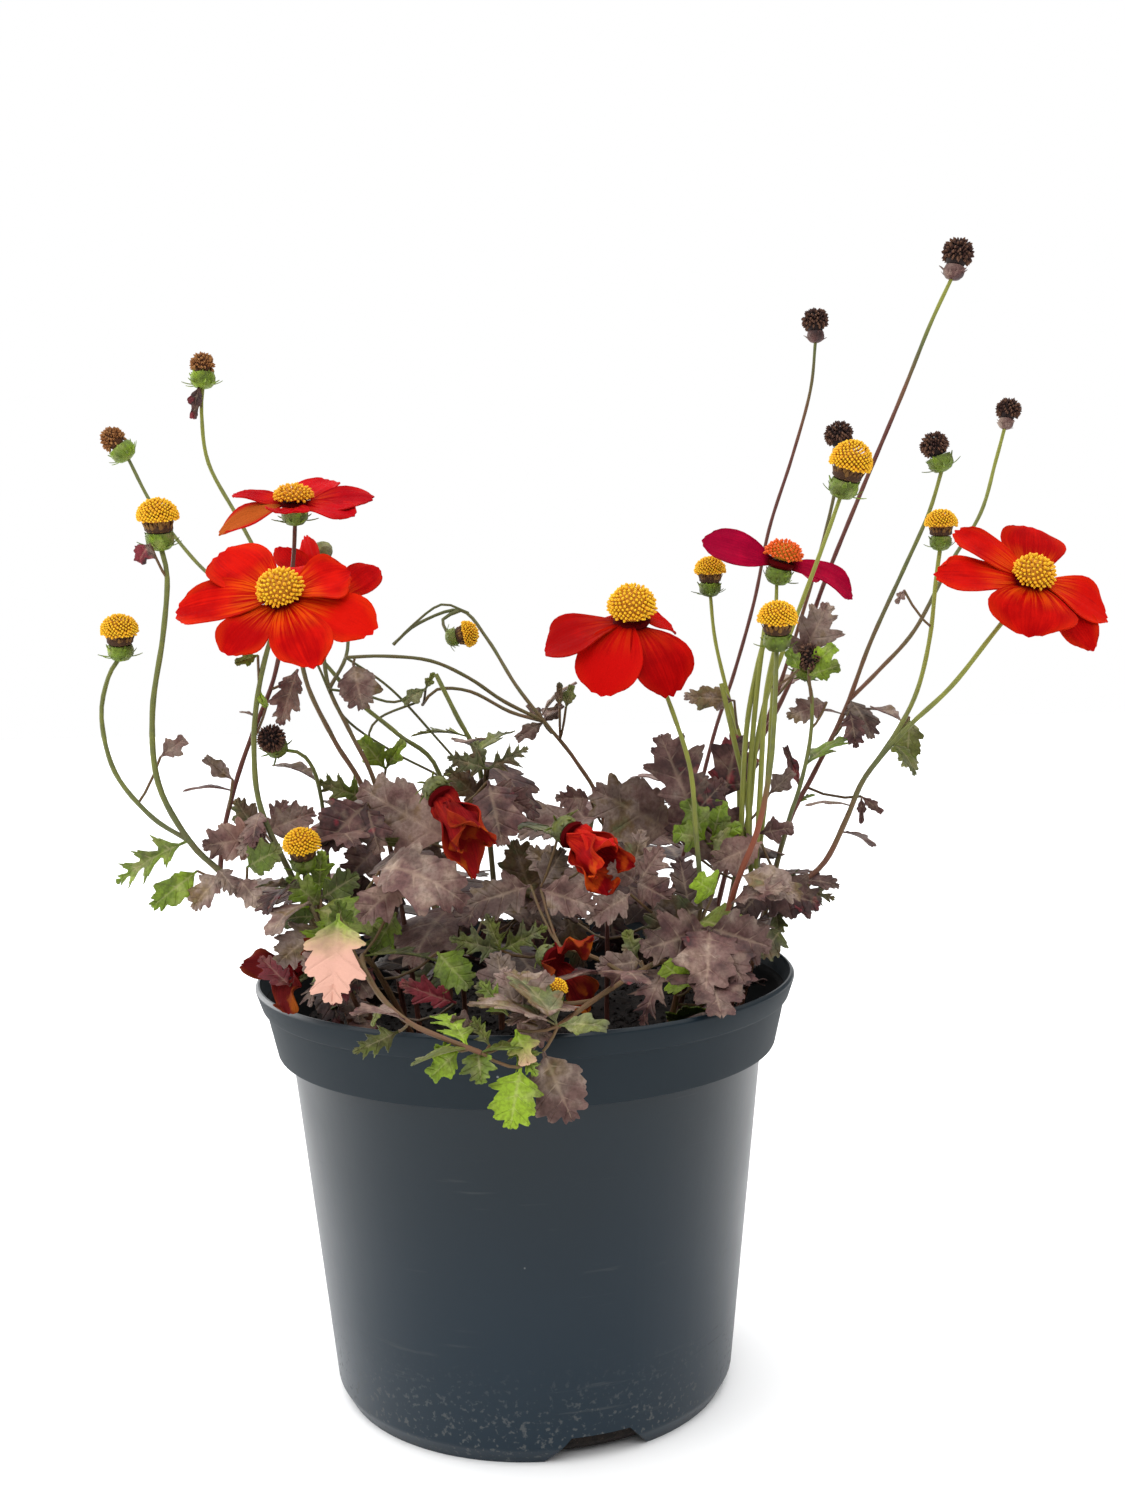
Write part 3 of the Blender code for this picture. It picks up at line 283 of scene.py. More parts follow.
STEMS: dict[str, tuple[Stalk, ...]] = {
    "stem_left_fork": (
        Stalk(1.25, ((-46, -22, 117), (-54, -24, 138), (-66, -29, 153), (-80, -34, 161), (-89, -36, 171),
            (-98, -34, 180), (-107, -31, 197), (-108, -30, 218), (-104, -30, 240), (-102, -30, 257)),
            (Leaf(2.6, 112, 30, 26, tone=0.3), Leaf(5, 200, -18, 24, "feather", roll=-50, tone=0.82),
            Leaf(3.9, 214, -34, 13, roll=-40), Leaf(4.1, -44, -28, 11, roll=30),), "left_upper"),
        Stalk(0.85, ((-98, -34, 180), (-110, -29, 187), (-121, -25, 200), (-125, -22, 216), (-123, -20, 228)),
            carries="left_outer"),
        Stalk(0.85, ((-89, -36, 171), (-89, -27, 182), (-85, -22, 198), (-80, -18, 212), (-75, -11, 226),
            (-72, -2, 244), (-70, 6, 262)), (Leaf(1.7, 185, 20, 14, "small"),), "left_high"),
        Stalk(0.8, ((-54, -24, 138), (-61, -36, 143), (-65, -44, 146)), carries="withered_rim"),
    ),
    "stem_left_front": (
        Stalk(1.15, ((-50, -36, 117), (-56, -40, 140), (-66, -38, 165), (-77, -31, 188), (-79, -28, 206),
            (-77, -30, 222), (-72, -35, 238)), (Leaf(2.8, 228, -26, 12, roll=-30, tone=0.3),
            Leaf(3, -104, -30, 13, roll=10), Leaf(4.6, 160, 34, 5, "small"),), "left_front"),
    ),
    "stem_left_tall": (
        Stalk(1.0, ((-40, 10, 117), (-44, 6, 150), (-49, 2, 187), (-59, 8, 205), (-68, 17, 222),
            (-73, 25, 240),
            (-82, 33, 259), (-92, 39, 278), (-102, 43, 297), (-104, 45, 314)), (Leaf(1.2, 168, 14, 34),
            Leaf(1.7, 118, 30, 28),), "left_tall"),
    ),
    "stem_left_back": (
        Stalk(0.95, ((-34, -8, 117), (-38, -6, 150), (-45, -4, 190), (-53, 0, 208), (-60, 6, 222),
            (-62, 11, 236)), (Leaf(1.5, -72, 0, 32, roll=16), Leaf(1.3, 250, -20, 22, roll=-30),
            Leaf(2, -30, -16, 20, roll=40),), "left_back"),
        Stalk(0.7, ((-60, 6, 222), (-55, 17, 234), (-58, 31, 250), (-67, 41, 263), (-68, 44, 270),
            (-65, 42, 267)), carries="bud"),
    ),
    "stem_left_outer": (
        Stalk(0.9, ((-20, 8, 117), (-22, 7, 155), (-26, 6, 194), (-39, 8, 207), (-52, 11, 218),
            (-64, 13, 232),
            (-79, 14, 243), (-92, 18, 254), (-103, 22, 263), (-117, 27, 281)),
            (Leaf(0.9, -112, 2, 36, droop=45), Leaf(1.4, 176, 14, 28),), "left_far"),
        Stalk(0.8, ((-22, 7, 155), (-22, -10, 176), (-26, -24, 191)), carries="withered_left"),
    ),
    "stem_left_dark": (
        Stalk(0.9, ((-58, -10, 117), (-60, -9, 150), (-62, -8, 188), (-66, -12, 202)),
            (Leaf(1.8, -66, 6, 26, roll=10), Leaf(1.2, 176, 12, 18, roll=-36),
            Leaf(2.3, 150, 34, 16, "small"),), "left_dark"),
    ),
    "stem_left_low": (
        Stalk(0.9, ((-43, -47, 117), (-52, -48, 140), (-59, -46, 156), (-63, -43, 165)),
            (Leaf(2.2, 182, 6, 12, roll=-40, tone=0.74), Leaf(2.4, -30, 4, 22, roll=40, tone=0.78),),
            "left_low"),
    ),
    "stem_wiry": (
        Stalk(0.85, ((26, 8, 117), (27, 12, 150), (26, 15, 180), (18, 19, 196), (8, 22, 209), (-1, 26, 221),
            (-10, 36, 236), (-19, 43, 246), (-33, 39, 242), (-42, 40, 235)), (Leaf(1.9, -164, 4, 28,
            roll=-34),
            Leaf(1.7, 6, 6, 26, roll=36), Leaf(4, 70, 30, 14, "small"), Leaf(4.1, 0, 60, 16, "small"),)),
        Stalk(0.7, ((8, 22, 209), (-5, 20, 216), (-16, 16, 224), (-28, 11, 230), (-42, 4, 232),
            (-54, -1, 232))),
        Stalk(0.7, ((8, 22, 209), (-3, 28, 212), (-16, 29, 219), (-27, 28, 220), (-32, 27, 215))),
        Stalk(0.7, ((-19, 43, 246), (-25, 40, 243)), carries="lying"),
        Stalk(0.8, ((27, 12, 150), (24, -8, 166), (17, -24, 180)), (Leaf(0.7, -160, -6, 26, roll=-24),
            Leaf(0.9, -62, -6, 24, roll=20),), "withered_centre"),
    ),
    "stem_middle": (
        Stalk(1.1, ((-8, -4, 117), (-9, -1, 150), (-11, 1, 180), (-14, 3, 200), (-20, 3, 213), (-26, 3, 226)),
            (Leaf(0.7, -66, 4, 34), Leaf(1, 0, 10, 28, roll=40), Leaf(1.3, -104, 8, 32, droop=45),
            Leaf(1.9, -40, 16, 26, "feather", tone=0.56), Leaf(2.9, -38, -14, 28, droop=50),
            Leaf(3, 55, 34, 20, "feather", tone=0.6), Leaf(3.1, -100, 30, 18, "small"),
            Leaf(3.4, 175, 20, 18, "feather", tone=0.58),)),
    ),
    "stem_centre": (
        Stalk(0.95, ((44, -30, 117), (49, -36, 140), (52, -38, 158), (51, -38, 180), (50, -36, 197),
            (46, -34, 212), (40, -32, 228)), (Leaf(1.2, -84, 6, 38, droop=46), Leaf(1, -36, 6, 20, droop=40),
            Leaf(0.8, -156, 12, 16, droop=36),), "centre"),
    ),
    "stem_right_front": (
        Stalk(1.15, ((52, -22, 117), (57, -27, 140), (64, -31, 163), (70, -32, 178), (74, -31, 195),
            (76, -29, 212)), (Leaf(2.1, -30, -4, 19, roll=34), Leaf(1.5, 150, 20, 26),), "right_front"),
    ),
    "stem_right_high": (
        Stalk(1.0, ((58, -8, 117), (64, -8, 150), (71, -7, 180), (73, -8, 198), (77, -8, 217), (86, -8, 240),
            (95, -8, 263)), (Leaf(1.4, 156, 56, 36, droop=20, roll=-66), Leaf(1.7, -122, 10, 20, "feather"),),
            "right_high"),
    ),
    "stem_right_inner": (
        Stalk(0.9, ((60, 12, 117), (68, 11, 150), (74, 12, 172), (73, 15, 196), (69, 19, 214), (65, 23, 234)),
            (Leaf(1.6, 172, 50, 20, "feather"),), "right_inner"),
    ),
    "stem_magenta": (
        Stalk(0.9, ((66, 3, 117), (73, 3, 150), (78, 4, 183), (81, 7, 215), (83, 11, 238)),
            carries="magenta"),
    ),
    "stem_right_tallest": (
        Stalk(1.0, ((58, 28, 117), (66, 26, 150), (72, 25, 174), (78, 26, 196), (90, 28, 219), (102, 30, 251),
            (115, 32, 281), (130, 35, 314), (140, 37, 337)), (Leaf(1.2, 16, 20, 18), Leaf(2, 150, 30, 26),),
            "right_tallest"),
    ),
    "stem_right_behind": (
        Stalk(0.9, ((52, 42, 117), (66, 42, 150), (79, 41, 191), (90, 41, 221), (100, 42, 251),
            (107, 42, 276)),
            (Leaf(2.8, 40, 40, 15),), "right_behind"),
    ),
    "stem_back_tall": (
        Stalk(0.85, ((42, 48, 117), (56, 49, 160), (67, 50, 200), (75, 53, 222), (83, 57, 247), (89, 60, 272),
            (98, 64, 297), (105, 66, 320)), (Leaf(0.9, 96, 20, 32), Leaf(1.5, 170, 30, 24),), "back_tall"),
    ),
    "stem_right_pair": (
        Stalk(1.0, ((67, -5, 117), (76, -6, 150), (84, -5, 177), (92, 0, 190), (101, 7, 204), (107, 13, 214),
            (115, 16, 233), (127, 21, 256), (136, 24, 274)), (Leaf(1.3, 8, 24, 14),
            Leaf(2.3, 40, 36, 9, "feather"), Leaf(5, -62, -30, 16), Leaf(4.6, 176, 20, 14, "small"),),
            "right_middle"),
        Stalk(0.8, ((107, 13, 214), (119, 23, 223), (133, 31, 236), (147, 41, 257), (160, 48, 275),
            (167, 54, 293)), carries="right_far"),
    ),
    "stem_right_bloom": (
        Stalk(1.1, ((62, -18, 117), (67, -18, 140), (74, -18, 154), (84, -18, 159), (93, -17, 166),
            (100, -16, 179), (106, -16, 192), (118, -17, 206), (132, -18, 219), (144, -19, 234)),
            (Leaf(3.2, -26, 8, 11, roll=30, tone=0.22), Leaf(2.6, -60, -6, 13), Leaf(4.7, 30, -6, 14,
            "small"),
            Leaf(5.3, 178, 20, 14, "small"), Leaf(6.7, -40, -26, 12, droop=50, tone=0.62),), "right"),
        Stalk(0.85, ((106, -16, 192), (117, -8, 204), (126, 0, 217), (132, 7, 234), (135, 11, 252)),
            (Leaf(1.3, 120, 30, 16, "small"),), "right_outer"),
    ),
    "stem_right_low": (
        Stalk(0.9, ((66, -13, 117), (75, -13, 150), (82, -12, 176), (87, -9, 189), (91, -5, 203),
            (92, -3, 216)), (Leaf(3.4, 30, 40, 22, "feather"),), "right_low"),
    ),
    "runner_left": (
        Stalk(1.05, ((-33, -34, 117), (-42, -43, 139), (-46, -52, 148), (-45, -64, 147), (-39, -79, 142),
            (-31, -91, 138), (-21, -98, 135), (-12, -101, 132)), (Leaf(2.4, 10, 10, 22, "feather"),
            Leaf(4.2, 214, -34, 7, "small", tone=0.7), Leaf(6.2, 176, -30, 9, "feather", tone=0.92),
            Leaf(6.6, 112, 30, 20, "feather", tone=0.95), Leaf(7, 30, 10, 16, "small", tone=0.8),)),
    ),
    "runner_right": (
        Stalk(1.05, ((40, -42, 117), (44, -47, 135), (40, -53, 144), (29, -63, 142), (18, -77, 139),
            (8, -92, 136)), (Leaf(5, 182, 34, 24, tone=0.4), Leaf(5, 142, 56, 20, tone=0.46),
            Leaf(4.3, 206, 14, 22),)),
        Stalk(0.7, ((18, -77, 139), (13, -79, 139), (9, -79, 139)), carries="rim_bud"),
        Stalk(0.75, ((29, -63, 142), (20, -60, 147), (10, -58, 150)), carries="withered_front"),
    ),
    "shoot_back_left": (
        Stalk(1.1, ((-26, 34, 117), (-30, 42, 140), (-36, 50, 160), (-40, 54, 176)), (Leaf(1, 150, 14, 34),
            Leaf(1.5, 60, 16, 34), Leaf(2.2, 200, 24, 30), Leaf(2.6, 100, 20, 32), Leaf(3, 10, 40, 26),)),
    ),
    "shoot_back_right": (
        Stalk(1.1, ((16, 42, 117), (18, 47, 140), (22, 53, 160), (26, 56, 178)), (Leaf(1, 120, 12, 34),
            Leaf(1.5, 30, 14, 30), Leaf(2.2, 160, 22, 32), Leaf(2.6, 80, 22, 32),
            Leaf(3, 60, 50, 8, tone=0.62),)),
    ),
}

FRONDS: dict[str, tuple[Frond, ...]] = {
    "stem_left_fork": (
        Frond((-81, -36, 172), (-70, -42, 178), 0.8, wide=1.1, front=0.8),
        Frond((-83, -38, 169), (-76, -44, 162), 0.36, wide=0.9),
        Frond((-67, -14, 229), (-72, -20, 213), 0.24, wide=0.8),
        Frond((-86, -26, 197), (-93, -30, 204), 0.34, "small"),
        Frond((-106, -32, 267), (-109, -34, 262), 0.02, "small", 2.0, 60),
        Frond((-96, -34, 171), (-108, -40, 162), 0.82, wide=0.9),
        Frond((-80, -12, 177), (-88, -10, 189), 0.45, wide=0.9),
        Frond((-108, -22, 204), (-101, -20, 209), 0.34, "small", 1.5),
        Frond((-67, -56, 141), (-74, -60, 150), -0.1, wide=0.9),
    ),
    "stem_left_front": (
        Frond((-77, -30, 180), (-93, -38, 179), 0.22, wide=1.15, blush=0.55),
        Frond((-76, -24, 179), (-72, -16, 189), 0.22),
        Frond((-77, -27, 181), (-63, -22, 186), 0.26, front=0.8),
        Frond((-60, -38, 164), (-59, -36, 176), 0.86),
        Frond((-57, -34, 159), (-67, -40, 157), 0.45, front=0.7),
        Frond((-75, -26, 219), (-77, -28, 224), 0.98, "small", 0.5, 200),
        Frond((-76, -33, 234), (-82, -36, 232), 0.62, "small", 1.2),
    ),
    "stem_left_tall": (
        Frond((-104, 44, 323), (-106, 42, 312), 0.04, "small", 0.8, 60),
    ),
    "stem_left_back": (
        Frond((-47, -18, 188), (-60, -26, 176), 0.08, wide=1.25),
        Frond((-47, -18, 187), (-43, -26, 174), 0.12, wide=1.1),
        Frond((-37, -14, 172), (-40, -10, 184), 0.7, wide=1.1, front=0.8),
        Frond((-48, -6, 188), (-63, -8, 194), 0.68, "feather", 1.2),
        Frond((-43, 6, 196), (-50, 4, 206), 0.88, "small", 1.3),
        Frond((-43, 6, 196), (-37, 4, 205), 0.86, "small"),
    ),
    "stem_left_outer": (
        Frond((-13, 26, 145), (-5, 22, 129), 0.14, wide=1.1),
        Frond((-21, -24, 176), (-49, -12, 192), 0.3, wide=0.95, blush=0.35),
        Frond((-32, -10, 176), (-45, -6, 188), 0.66, front=0.8),
        Frond((-10, -20, 194), (-6, -30, 176), 0.16, wide=1.15),
        Frond((-10, -18, 192), (2, -20, 185), 0.2, wide=1.1),
    ),
    "stem_left_low": (
        Frond((-59, -41, 161), (-68, -46, 170), 0.84, wide=1.1, front=0.8),
        Frond((-59, -42, 163), (-48, -44, 170), 0.8, wide=1.1, front=0.8),
        Frond((-54, -48, 158), (-64, -56, 150), 0.97, "feather", 1.1, front=0.8),
        Frond((-51, -50, 153), (-53, -52, 164), 0.86),
        Frond((-41, -48, 172), (-17, -60, 164), 0.25, wide=0.9, droop=105, front=0.6),
    ),
    "stem_wiry": (
        Frond((14, 26, 145), (19, 22, 127), 0.42), Frond((27, 28, 146), (32, 24, 129), 0.12, wide=1.1),
        Frond((5, -38, 164), (12, -32, 174), 0.36),
        Frond((22, 4, 185), (11, 0, 186), 0.24, wide=1.1, front=0.8),
        Frond((13, -25, 164), (2, -22, 173), 0.36), Frond((32, -28, 163), (36, -24, 178), 0.36, wide=0.9),
        Frond((13, 10, 214), (13, 8, 222), 0.5, "small", 0.8, 10),
        Frond((15, 10, 214), (17, 8, 221), 0.66, "small", 1.2, 10),
        Frond((-52, 4, 230), (-49, 0, 216), 0.3, wide=1.25),
        Frond((44, 0, 148), (30, -4, 154), 0.2, wide=1.1), Frond((8, 32, 208), (-1, 28, 203), 0.3, "small"),
        Frond((8, 32, 208), (14, 28, 214), 0.26, "small"), Frond((8, 32, 208), (3, 30, 214), 0.34, "small"),
        Frond((-30, 14, 221), (-37, 12, 217), 0.6, "small", 1.3),
        Frond((-30, 14, 221), (-27, 12, 226), 0.6, "small"),
    ),
    "stem_middle": (
        Frond((-10, -12, 197), (-22, -14, 201), 0.52, "feather", 1.2),
        Frond((-10, -12, 197), (2, -12, 203), 0.5, "feather", 1.2),
        Frond((-11, -12, 197), (-14, -10, 205), 0.5, "small", 1.2),
        Frond((3, 0, 154), (-3, -4, 173), 0.44, wide=1.1), Frond((0, 4, 151), (5, 0, 166), 0.6, "small", 1.3),
        Frond((-11, 0, 185), (-23, -4, 196), 0.45, wide=0.9),
    ),
    "stem_centre": (
        Frond((53, -50, 153), (33, -60, 149), 0.2, wide=1.1),
        Frond((53, -50, 153), (50, -66, 138), 0.18, wide=1.2, blush=0.1),
        Frond((53, -50, 153), (69, -60, 149), 0.22, wide=1.25), Frond((53, -50, 152), (61, -64, 140), 0.2),
        Frond((52, -40, 157), (35, -46, 151), 0.44, wide=1.1, droop=40),
        Frond((33, -38, 165), (43, -44, 160), 0.22, wide=1.1),
        Frond((33, -38, 165), (25, -44, 171), 0.24, front=0.8), Frond((34, -38, 165), (41, -34, 174), 0.18),
        Frond((31, -42, 162), (18, -50, 156), 0.32, wide=0.9, blush=0.2),
        Frond((49, -34, 156), (47, -28, 170), 0.18),
        Frond((56, -38, 161), (50, -44, 166), 1.0, "small", 2.0, 60),
    ),
    "stem_right_high": (
        Frond((48, 0, 174), (23, -8, 189), 0.35, wide=1.1, blush=0.3),
        Frond((53, -12, 181), (44, -6, 205), 0.15, wide=1.1, droop=10),
        Frond((53, -12, 181), (63, -10, 191), 0.13),
        Frond((56, -16, 174), (51, -16, 186), 0.88, "small", 1.5),
        Frond((56, -16, 174), (46, -22, 177), 0.84, "small", 1.6, front=0.8),
        Frond((59, -14, 174), (67, -18, 178), 0.92, "small", 1.6, 40, 0.8),
        Frond((59, -12, 174), (62, -12, 185), 0.9, "small", 1.5),
        Frond((58, -16, 174), (65, -24, 173), 0.7, "small", 1.6, front=0.8),
        Frond((78, -4, 186), (85, -6, 193), 0.24, "small", 1.4),
        Frond((73, -14, 175), (83, -18, 177), 0.2, "small", 1.4),
        Frond((88, -3, 225), (84, -6, 231), 0.9, "small", 1.3),
    ),
    "stem_right_inner": (
        Frond((65, 8, 183), (70, 12, 203), 0.07, wide=1.1),
        Frond((69, 8, 215), (53, 4, 217), 0.34, wide=0.75),
    ),
    "stem_magenta": (
        Frond((89, 6, 225), (98, 2, 245), 0.33),
    ),
    "stem_right_pair": (
        Frond((78, -2, 158), (97, -8, 153), 0.54, "feather", 1.1),
        Frond((108, 0, 184), (114, -2, 179), 0.1, "small", 0.8),
        Frond((108, 0, 184), (107, -4, 176), 0.1, "small", 0.7),
        Frond((105, 2, 211), (106, -2, 200), 0.14, wide=0.9),
        Frond((89, 4, 187), (84, 0, 200), 0.08, "small", 0.5, 40),
    ),
    "stem_right_bloom": (
        Frond((72, -20, 160), (89, -28, 155), 0.17, wide=1.1, blush=0.1),
        Frond((73, -20, 159), (64, -28, 151), 0.22, wide=1.1),
        Frond((77, -30, 148), (70, -36, 141), 0.52, wide=1.2),
        Frond((77, -20, 153), (77, -26, 145), 0.5, front=0.8),
        Frond((123, -2, 209), (121, -6, 194), 0.6, wide=0.9),
        Frond((123, 4, 249), (120, 2, 245), 0.3, "small"),
    ),
    "stem_right_low": (
        Frond((73, -20, 173), (57, -28, 168), 0.2, wide=0.9, blush=0.3),
        Frond((91, -3, 223), (100, -6, 226), 0.97, "small", 1.5),
        Frond((91, -3, 225), (99, -4, 232), 0.94, "small", 1.5),
        Frond((98, 4, 214), (85, 0, 210), 0.32, wide=0.9),
    ),
    "runner_left": (
        Frond((-34, -52, 170), (-46, -60, 160), 0.24, front=0.85, blush=0.45),
        Frond((-37, -45, 159), (-44, -48, 148), 0.8, wide=1.1),
        Frond((-25, -55, 149), (-16, -60, 140), 0.84, wide=1.3, droop=10),
        Frond((-34, -88, 135), (-45, -96, 132), 0.62, "feather"),
        Frond((-15, -84, 136), (-20, -90, 138), 0.26, "small", 1.5),
        Frond((-18, -98, 132), (-25, -100, 126), 0.95, "small", 1.7),
        Frond((-19, -97, 132), (-24, -98, 133), 0.97, "small", 1.4),
        Frond((-13, -98, 132), (-12, -104, 125), 0.9, wide=1.5),
        Frond((-10, -94, 132), (-14, -92, 139), 0.74, "feather", 1.2),
        Frond((-4, -92, 133), (2, -98, 125), 0.9, "feather", 1.3),
        Frond((-2, -98, 127), (-5, -103, 113), 1.0, wide=1.25, droop=10),
        Frond((-50, -78, 165), (-51, -90, 144), 0.97, droop=10, blush=-1.35),
        Frond((-20, -58, 135), (-35, -62, 142), -0.1, wide=0.7),
    ),
    "runner_right": (
        Frond((2, -40, 165), (-16, -47, 161), 0.28, front=0.85),
        Frond((5, -42, 164), (20, -50, 160), 0.26, front=0.85),
        Frond((-7, -50, 148), (-21, -56, 153), 0.56, "feather", 1.1, front=0.8),
        Frond((-7, -50, 148), (-11, -48, 158), 0.62, "feather", 1.1),
        Frond((-7, -50, 148), (6, -54, 155), 0.66, "feather", 1.1, front=0.8),
        Frond((-5, -66, 135), (-8, -60, 149), 0.26, wide=1.1, blush=0.25),
        Frond((-3, -66, 136), (7, -64, 144), 0.26, "small", 1.3, 40, blush=0.2),
        Frond((-4, -70, 135), (-13, -74, 144), 0.5, front=0.8),
        Frond((47, -58, 138), (39, -62, 145), 0.97, "small", 2.0, 60),
        Frond((33, -56, 145), (20, -62, 145), 0.34, wide=0.9, front=0.8),
        Frond((32, -52, 145), (29, -52, 153), 0.55, "small", 1.6, front=0.8),
        Frond((63, -50, 134), (49, -58, 134), 0.4, "feather", front=0.6),
        Frond((-3, -84, 136), (6, -92, 133), 0.2, wide=1.3, blush=0.3),
        Frond((-3, -94, 136), (0, -98, 128), 0.98, "small", 1.6, blush=-0.5),
        Frond((-5, -86, 138), (-12, -82, 146), 0.86, "feather", 1.2),
        Frond((-3, -86, 139), (-6, -80, 149), 0.32), Frond((-2, -86, 139), (6, -84, 148), 0.28, "small", 1.1),
        Frond((4, -94, 130), (11, -98, 113), 0.3, wide=1.3, droop=10),
    ),
    "shoot_back_left": (
        Frond((-21, 30, 147), (-27, 26, 129), 0.1, wide=1.1),
    ),
    "shoot_back_right": (
        Frond((5, 30, 146), (1, 26, 127), 0.08, wide=1.2),
        Frond((-2, 34, 137), (-15, 30, 141), 0.52, "feather", 1.1, front=0.8),
    ),
}
SPRIGS: dict[str, tuple[tuple[Row, ...], ...]] = {
    "stem_left_back": (
        ((-60, 4, 222), (-50, 8, 220), (-40, 12, 217), (-30, 14, 221), (-28, 14, 226)),
        ((-63, 2, 230), (-56, 8, 213), (-41, 12, 201), (-25, 10, 192), (-22, 8, 185)),
        ((-43, 6, 196), (-48, 6, 205), (-45, 10, 212), (-32, 14, 217)),
    ),
    "stem_wiry": (
        ((-55, 8, 232), (-41, 14, 221), (-26, 20, 203), (-13, 20, 187)),
        ((-41, 30, 235), (-35, 30, 241), (-25, 32, 248), (-16, 34, 245)),
    ),
    "stem_right_high": (
        ((72, -14, 164), (74, -12, 188), (76, -12, 216), (80, -10, 234)),
        ((70, -12, 166), (71, -10, 191), (74, -8, 219), (77, -6, 238)),
        ((68, -10, 169), (69, -10, 191), (71, -8, 210), (75, -6, 228), (78, -6, 237)),
    ),
    "stem_right_inner": (
        ((72, -4, 159), (71, -4, 184), (67, -2, 205), (64, 0, 221)),
        ((70, 10, 166), (71, 14, 185), (71, 20, 200), (69, 24, 213)),
    ),
}

CRENATE = (
    (-1.0, 0.0), (-0.76, 0.60), (-0.54, 0.68), (-0.38, 0.58), (-0.18, 0.94), (0.04, 1.0), (0.24, 0.80),
    (0.48, 0.80), (0.76, 0.50), (1.0, 0.0),
)
CUT = (
    (-1.0, 0.0), (-0.60, 0.22), (-0.34, 0.68), (-0.16, 0.62), (0.0, 1.0), (0.22, 0.60), (0.40, 0.58),
    (0.64, 0.14), (1.0, 0.0),
)


@dataclass(frozen=True)
class LeafForm:
    """A leaf's lobes by place on the rib, half base, reach and angle, the edge of each, and its fill."""

    lobes: tuple[tuple[float, float, float, float], ...]
    edge: tuple[tuple[float, float], ...]
    fill: tuple[float, float]

    def rows(self, fill: float) -> np.ndarray:
        """Follow the edge from the root to the tip.

        Args:
            fill: How far the gaps between the lobes are filled.

        Returns:
            Place on the rib, place along, half width and vein, one row for each point.
        """
        made = [(0.0, 0.0, 0.016, 0.0), (0.08, 0.08, 0.020, 0.0)]
        for number, (place, half, reach, angle) in enumerate(self.lobes):
            lean = math.radians(angle)
            for side, share in self.edge[number > 0:]:
                closed = fill if number or side > -0.3 else fill * 0.35
                far = (closed + (1.0 - closed) * share) * reach
                rib = place + side * half
                made.append((rib, rib + far * math.cos(lean), far * math.sin(lean), float(abs(side) < 0.1)))
        return np.array([*made, (0.975, 1.01, 0.045, 0.0), (1.0, 1.04, 0.008, 0.0)])


LEAF_FORMS: dict[str, LeafForm] = {
    "lobed": LeafForm(
        ((0.22, 0.12, 0.38, 66), (0.46, 0.12, 0.44, 56), (0.68, 0.10, 0.32, 48), (0.86, 0.08, 0.17, 42)),
        CRENATE, (0.50, 0.88),
    ),
    "feather": LeafForm(
        ((0.24, 0.12, 0.34, 62), (0.48, 0.12, 0.38, 52), (0.70, 0.10, 0.28, 44), (0.87, 0.07, 0.15, 36)),
        CUT, (0.16, 0.45),
    ),
    "small": LeafForm(((0.36, 0.20, 0.34, 58), (0.74, 0.18, 0.24, 42)), CRENATE, (0.40, 0.80)),
}
# A petal's half width, as a share of its width, by the place along it
PETAL_WIDTHS = (
    (0.00, 0.09), (0.08, 0.14), (0.20, 0.26), (0.34, 0.37), (0.50, 0.46), (0.64, 0.50),
    (0.76, 0.49), (0.86, 0.445), (0.94, 0.36), (1.00, 0.235),
)
# The places along a petal where its sheet has a row
PETAL_ROWS = (0.0, 0.06, 0.13, 0.21, 0.30, 0.40, 0.50, 0.60, 0.69, 0.77, 0.84, 0.90, 0.95, 1.0)
# A bract's half width by the place along it, both by its length
BRACT_EDGE = ((0.0, 0.07), (0.2, 0.12), (0.45, 0.14), (0.75, 0.10), (1.0, 0.01))


@dataclass(frozen=True)
class BloomTint:
    """How orange, how dark and how far towards magenta a bloom's petals are."""

    warmth: float
    depth: float
    magenta: float = 0.0


BLOOM_TINTS: dict[str, BloomTint] = {
    "left_front": BloomTint(0.55, 0.16),
    "left_high": BloomTint(0.20, 0.40, 0.18),
    "left_back": BloomTint(0.30, 0.35, 0.05),
    "centre": BloomTint(0.16, 0.52),
    "magenta": BloomTint(0.0, 0.60, 1.0),
    "right": BloomTint(0.45, 0.30),
    "withered_left": BloomTint(0.50, 0.60),
    "withered_centre": BloomTint(0.50, 0.14),
    "withered_front": BloomTint(0.60, 0.80),
    "withered_rim": BloomTint(0.30, 0.95),
}


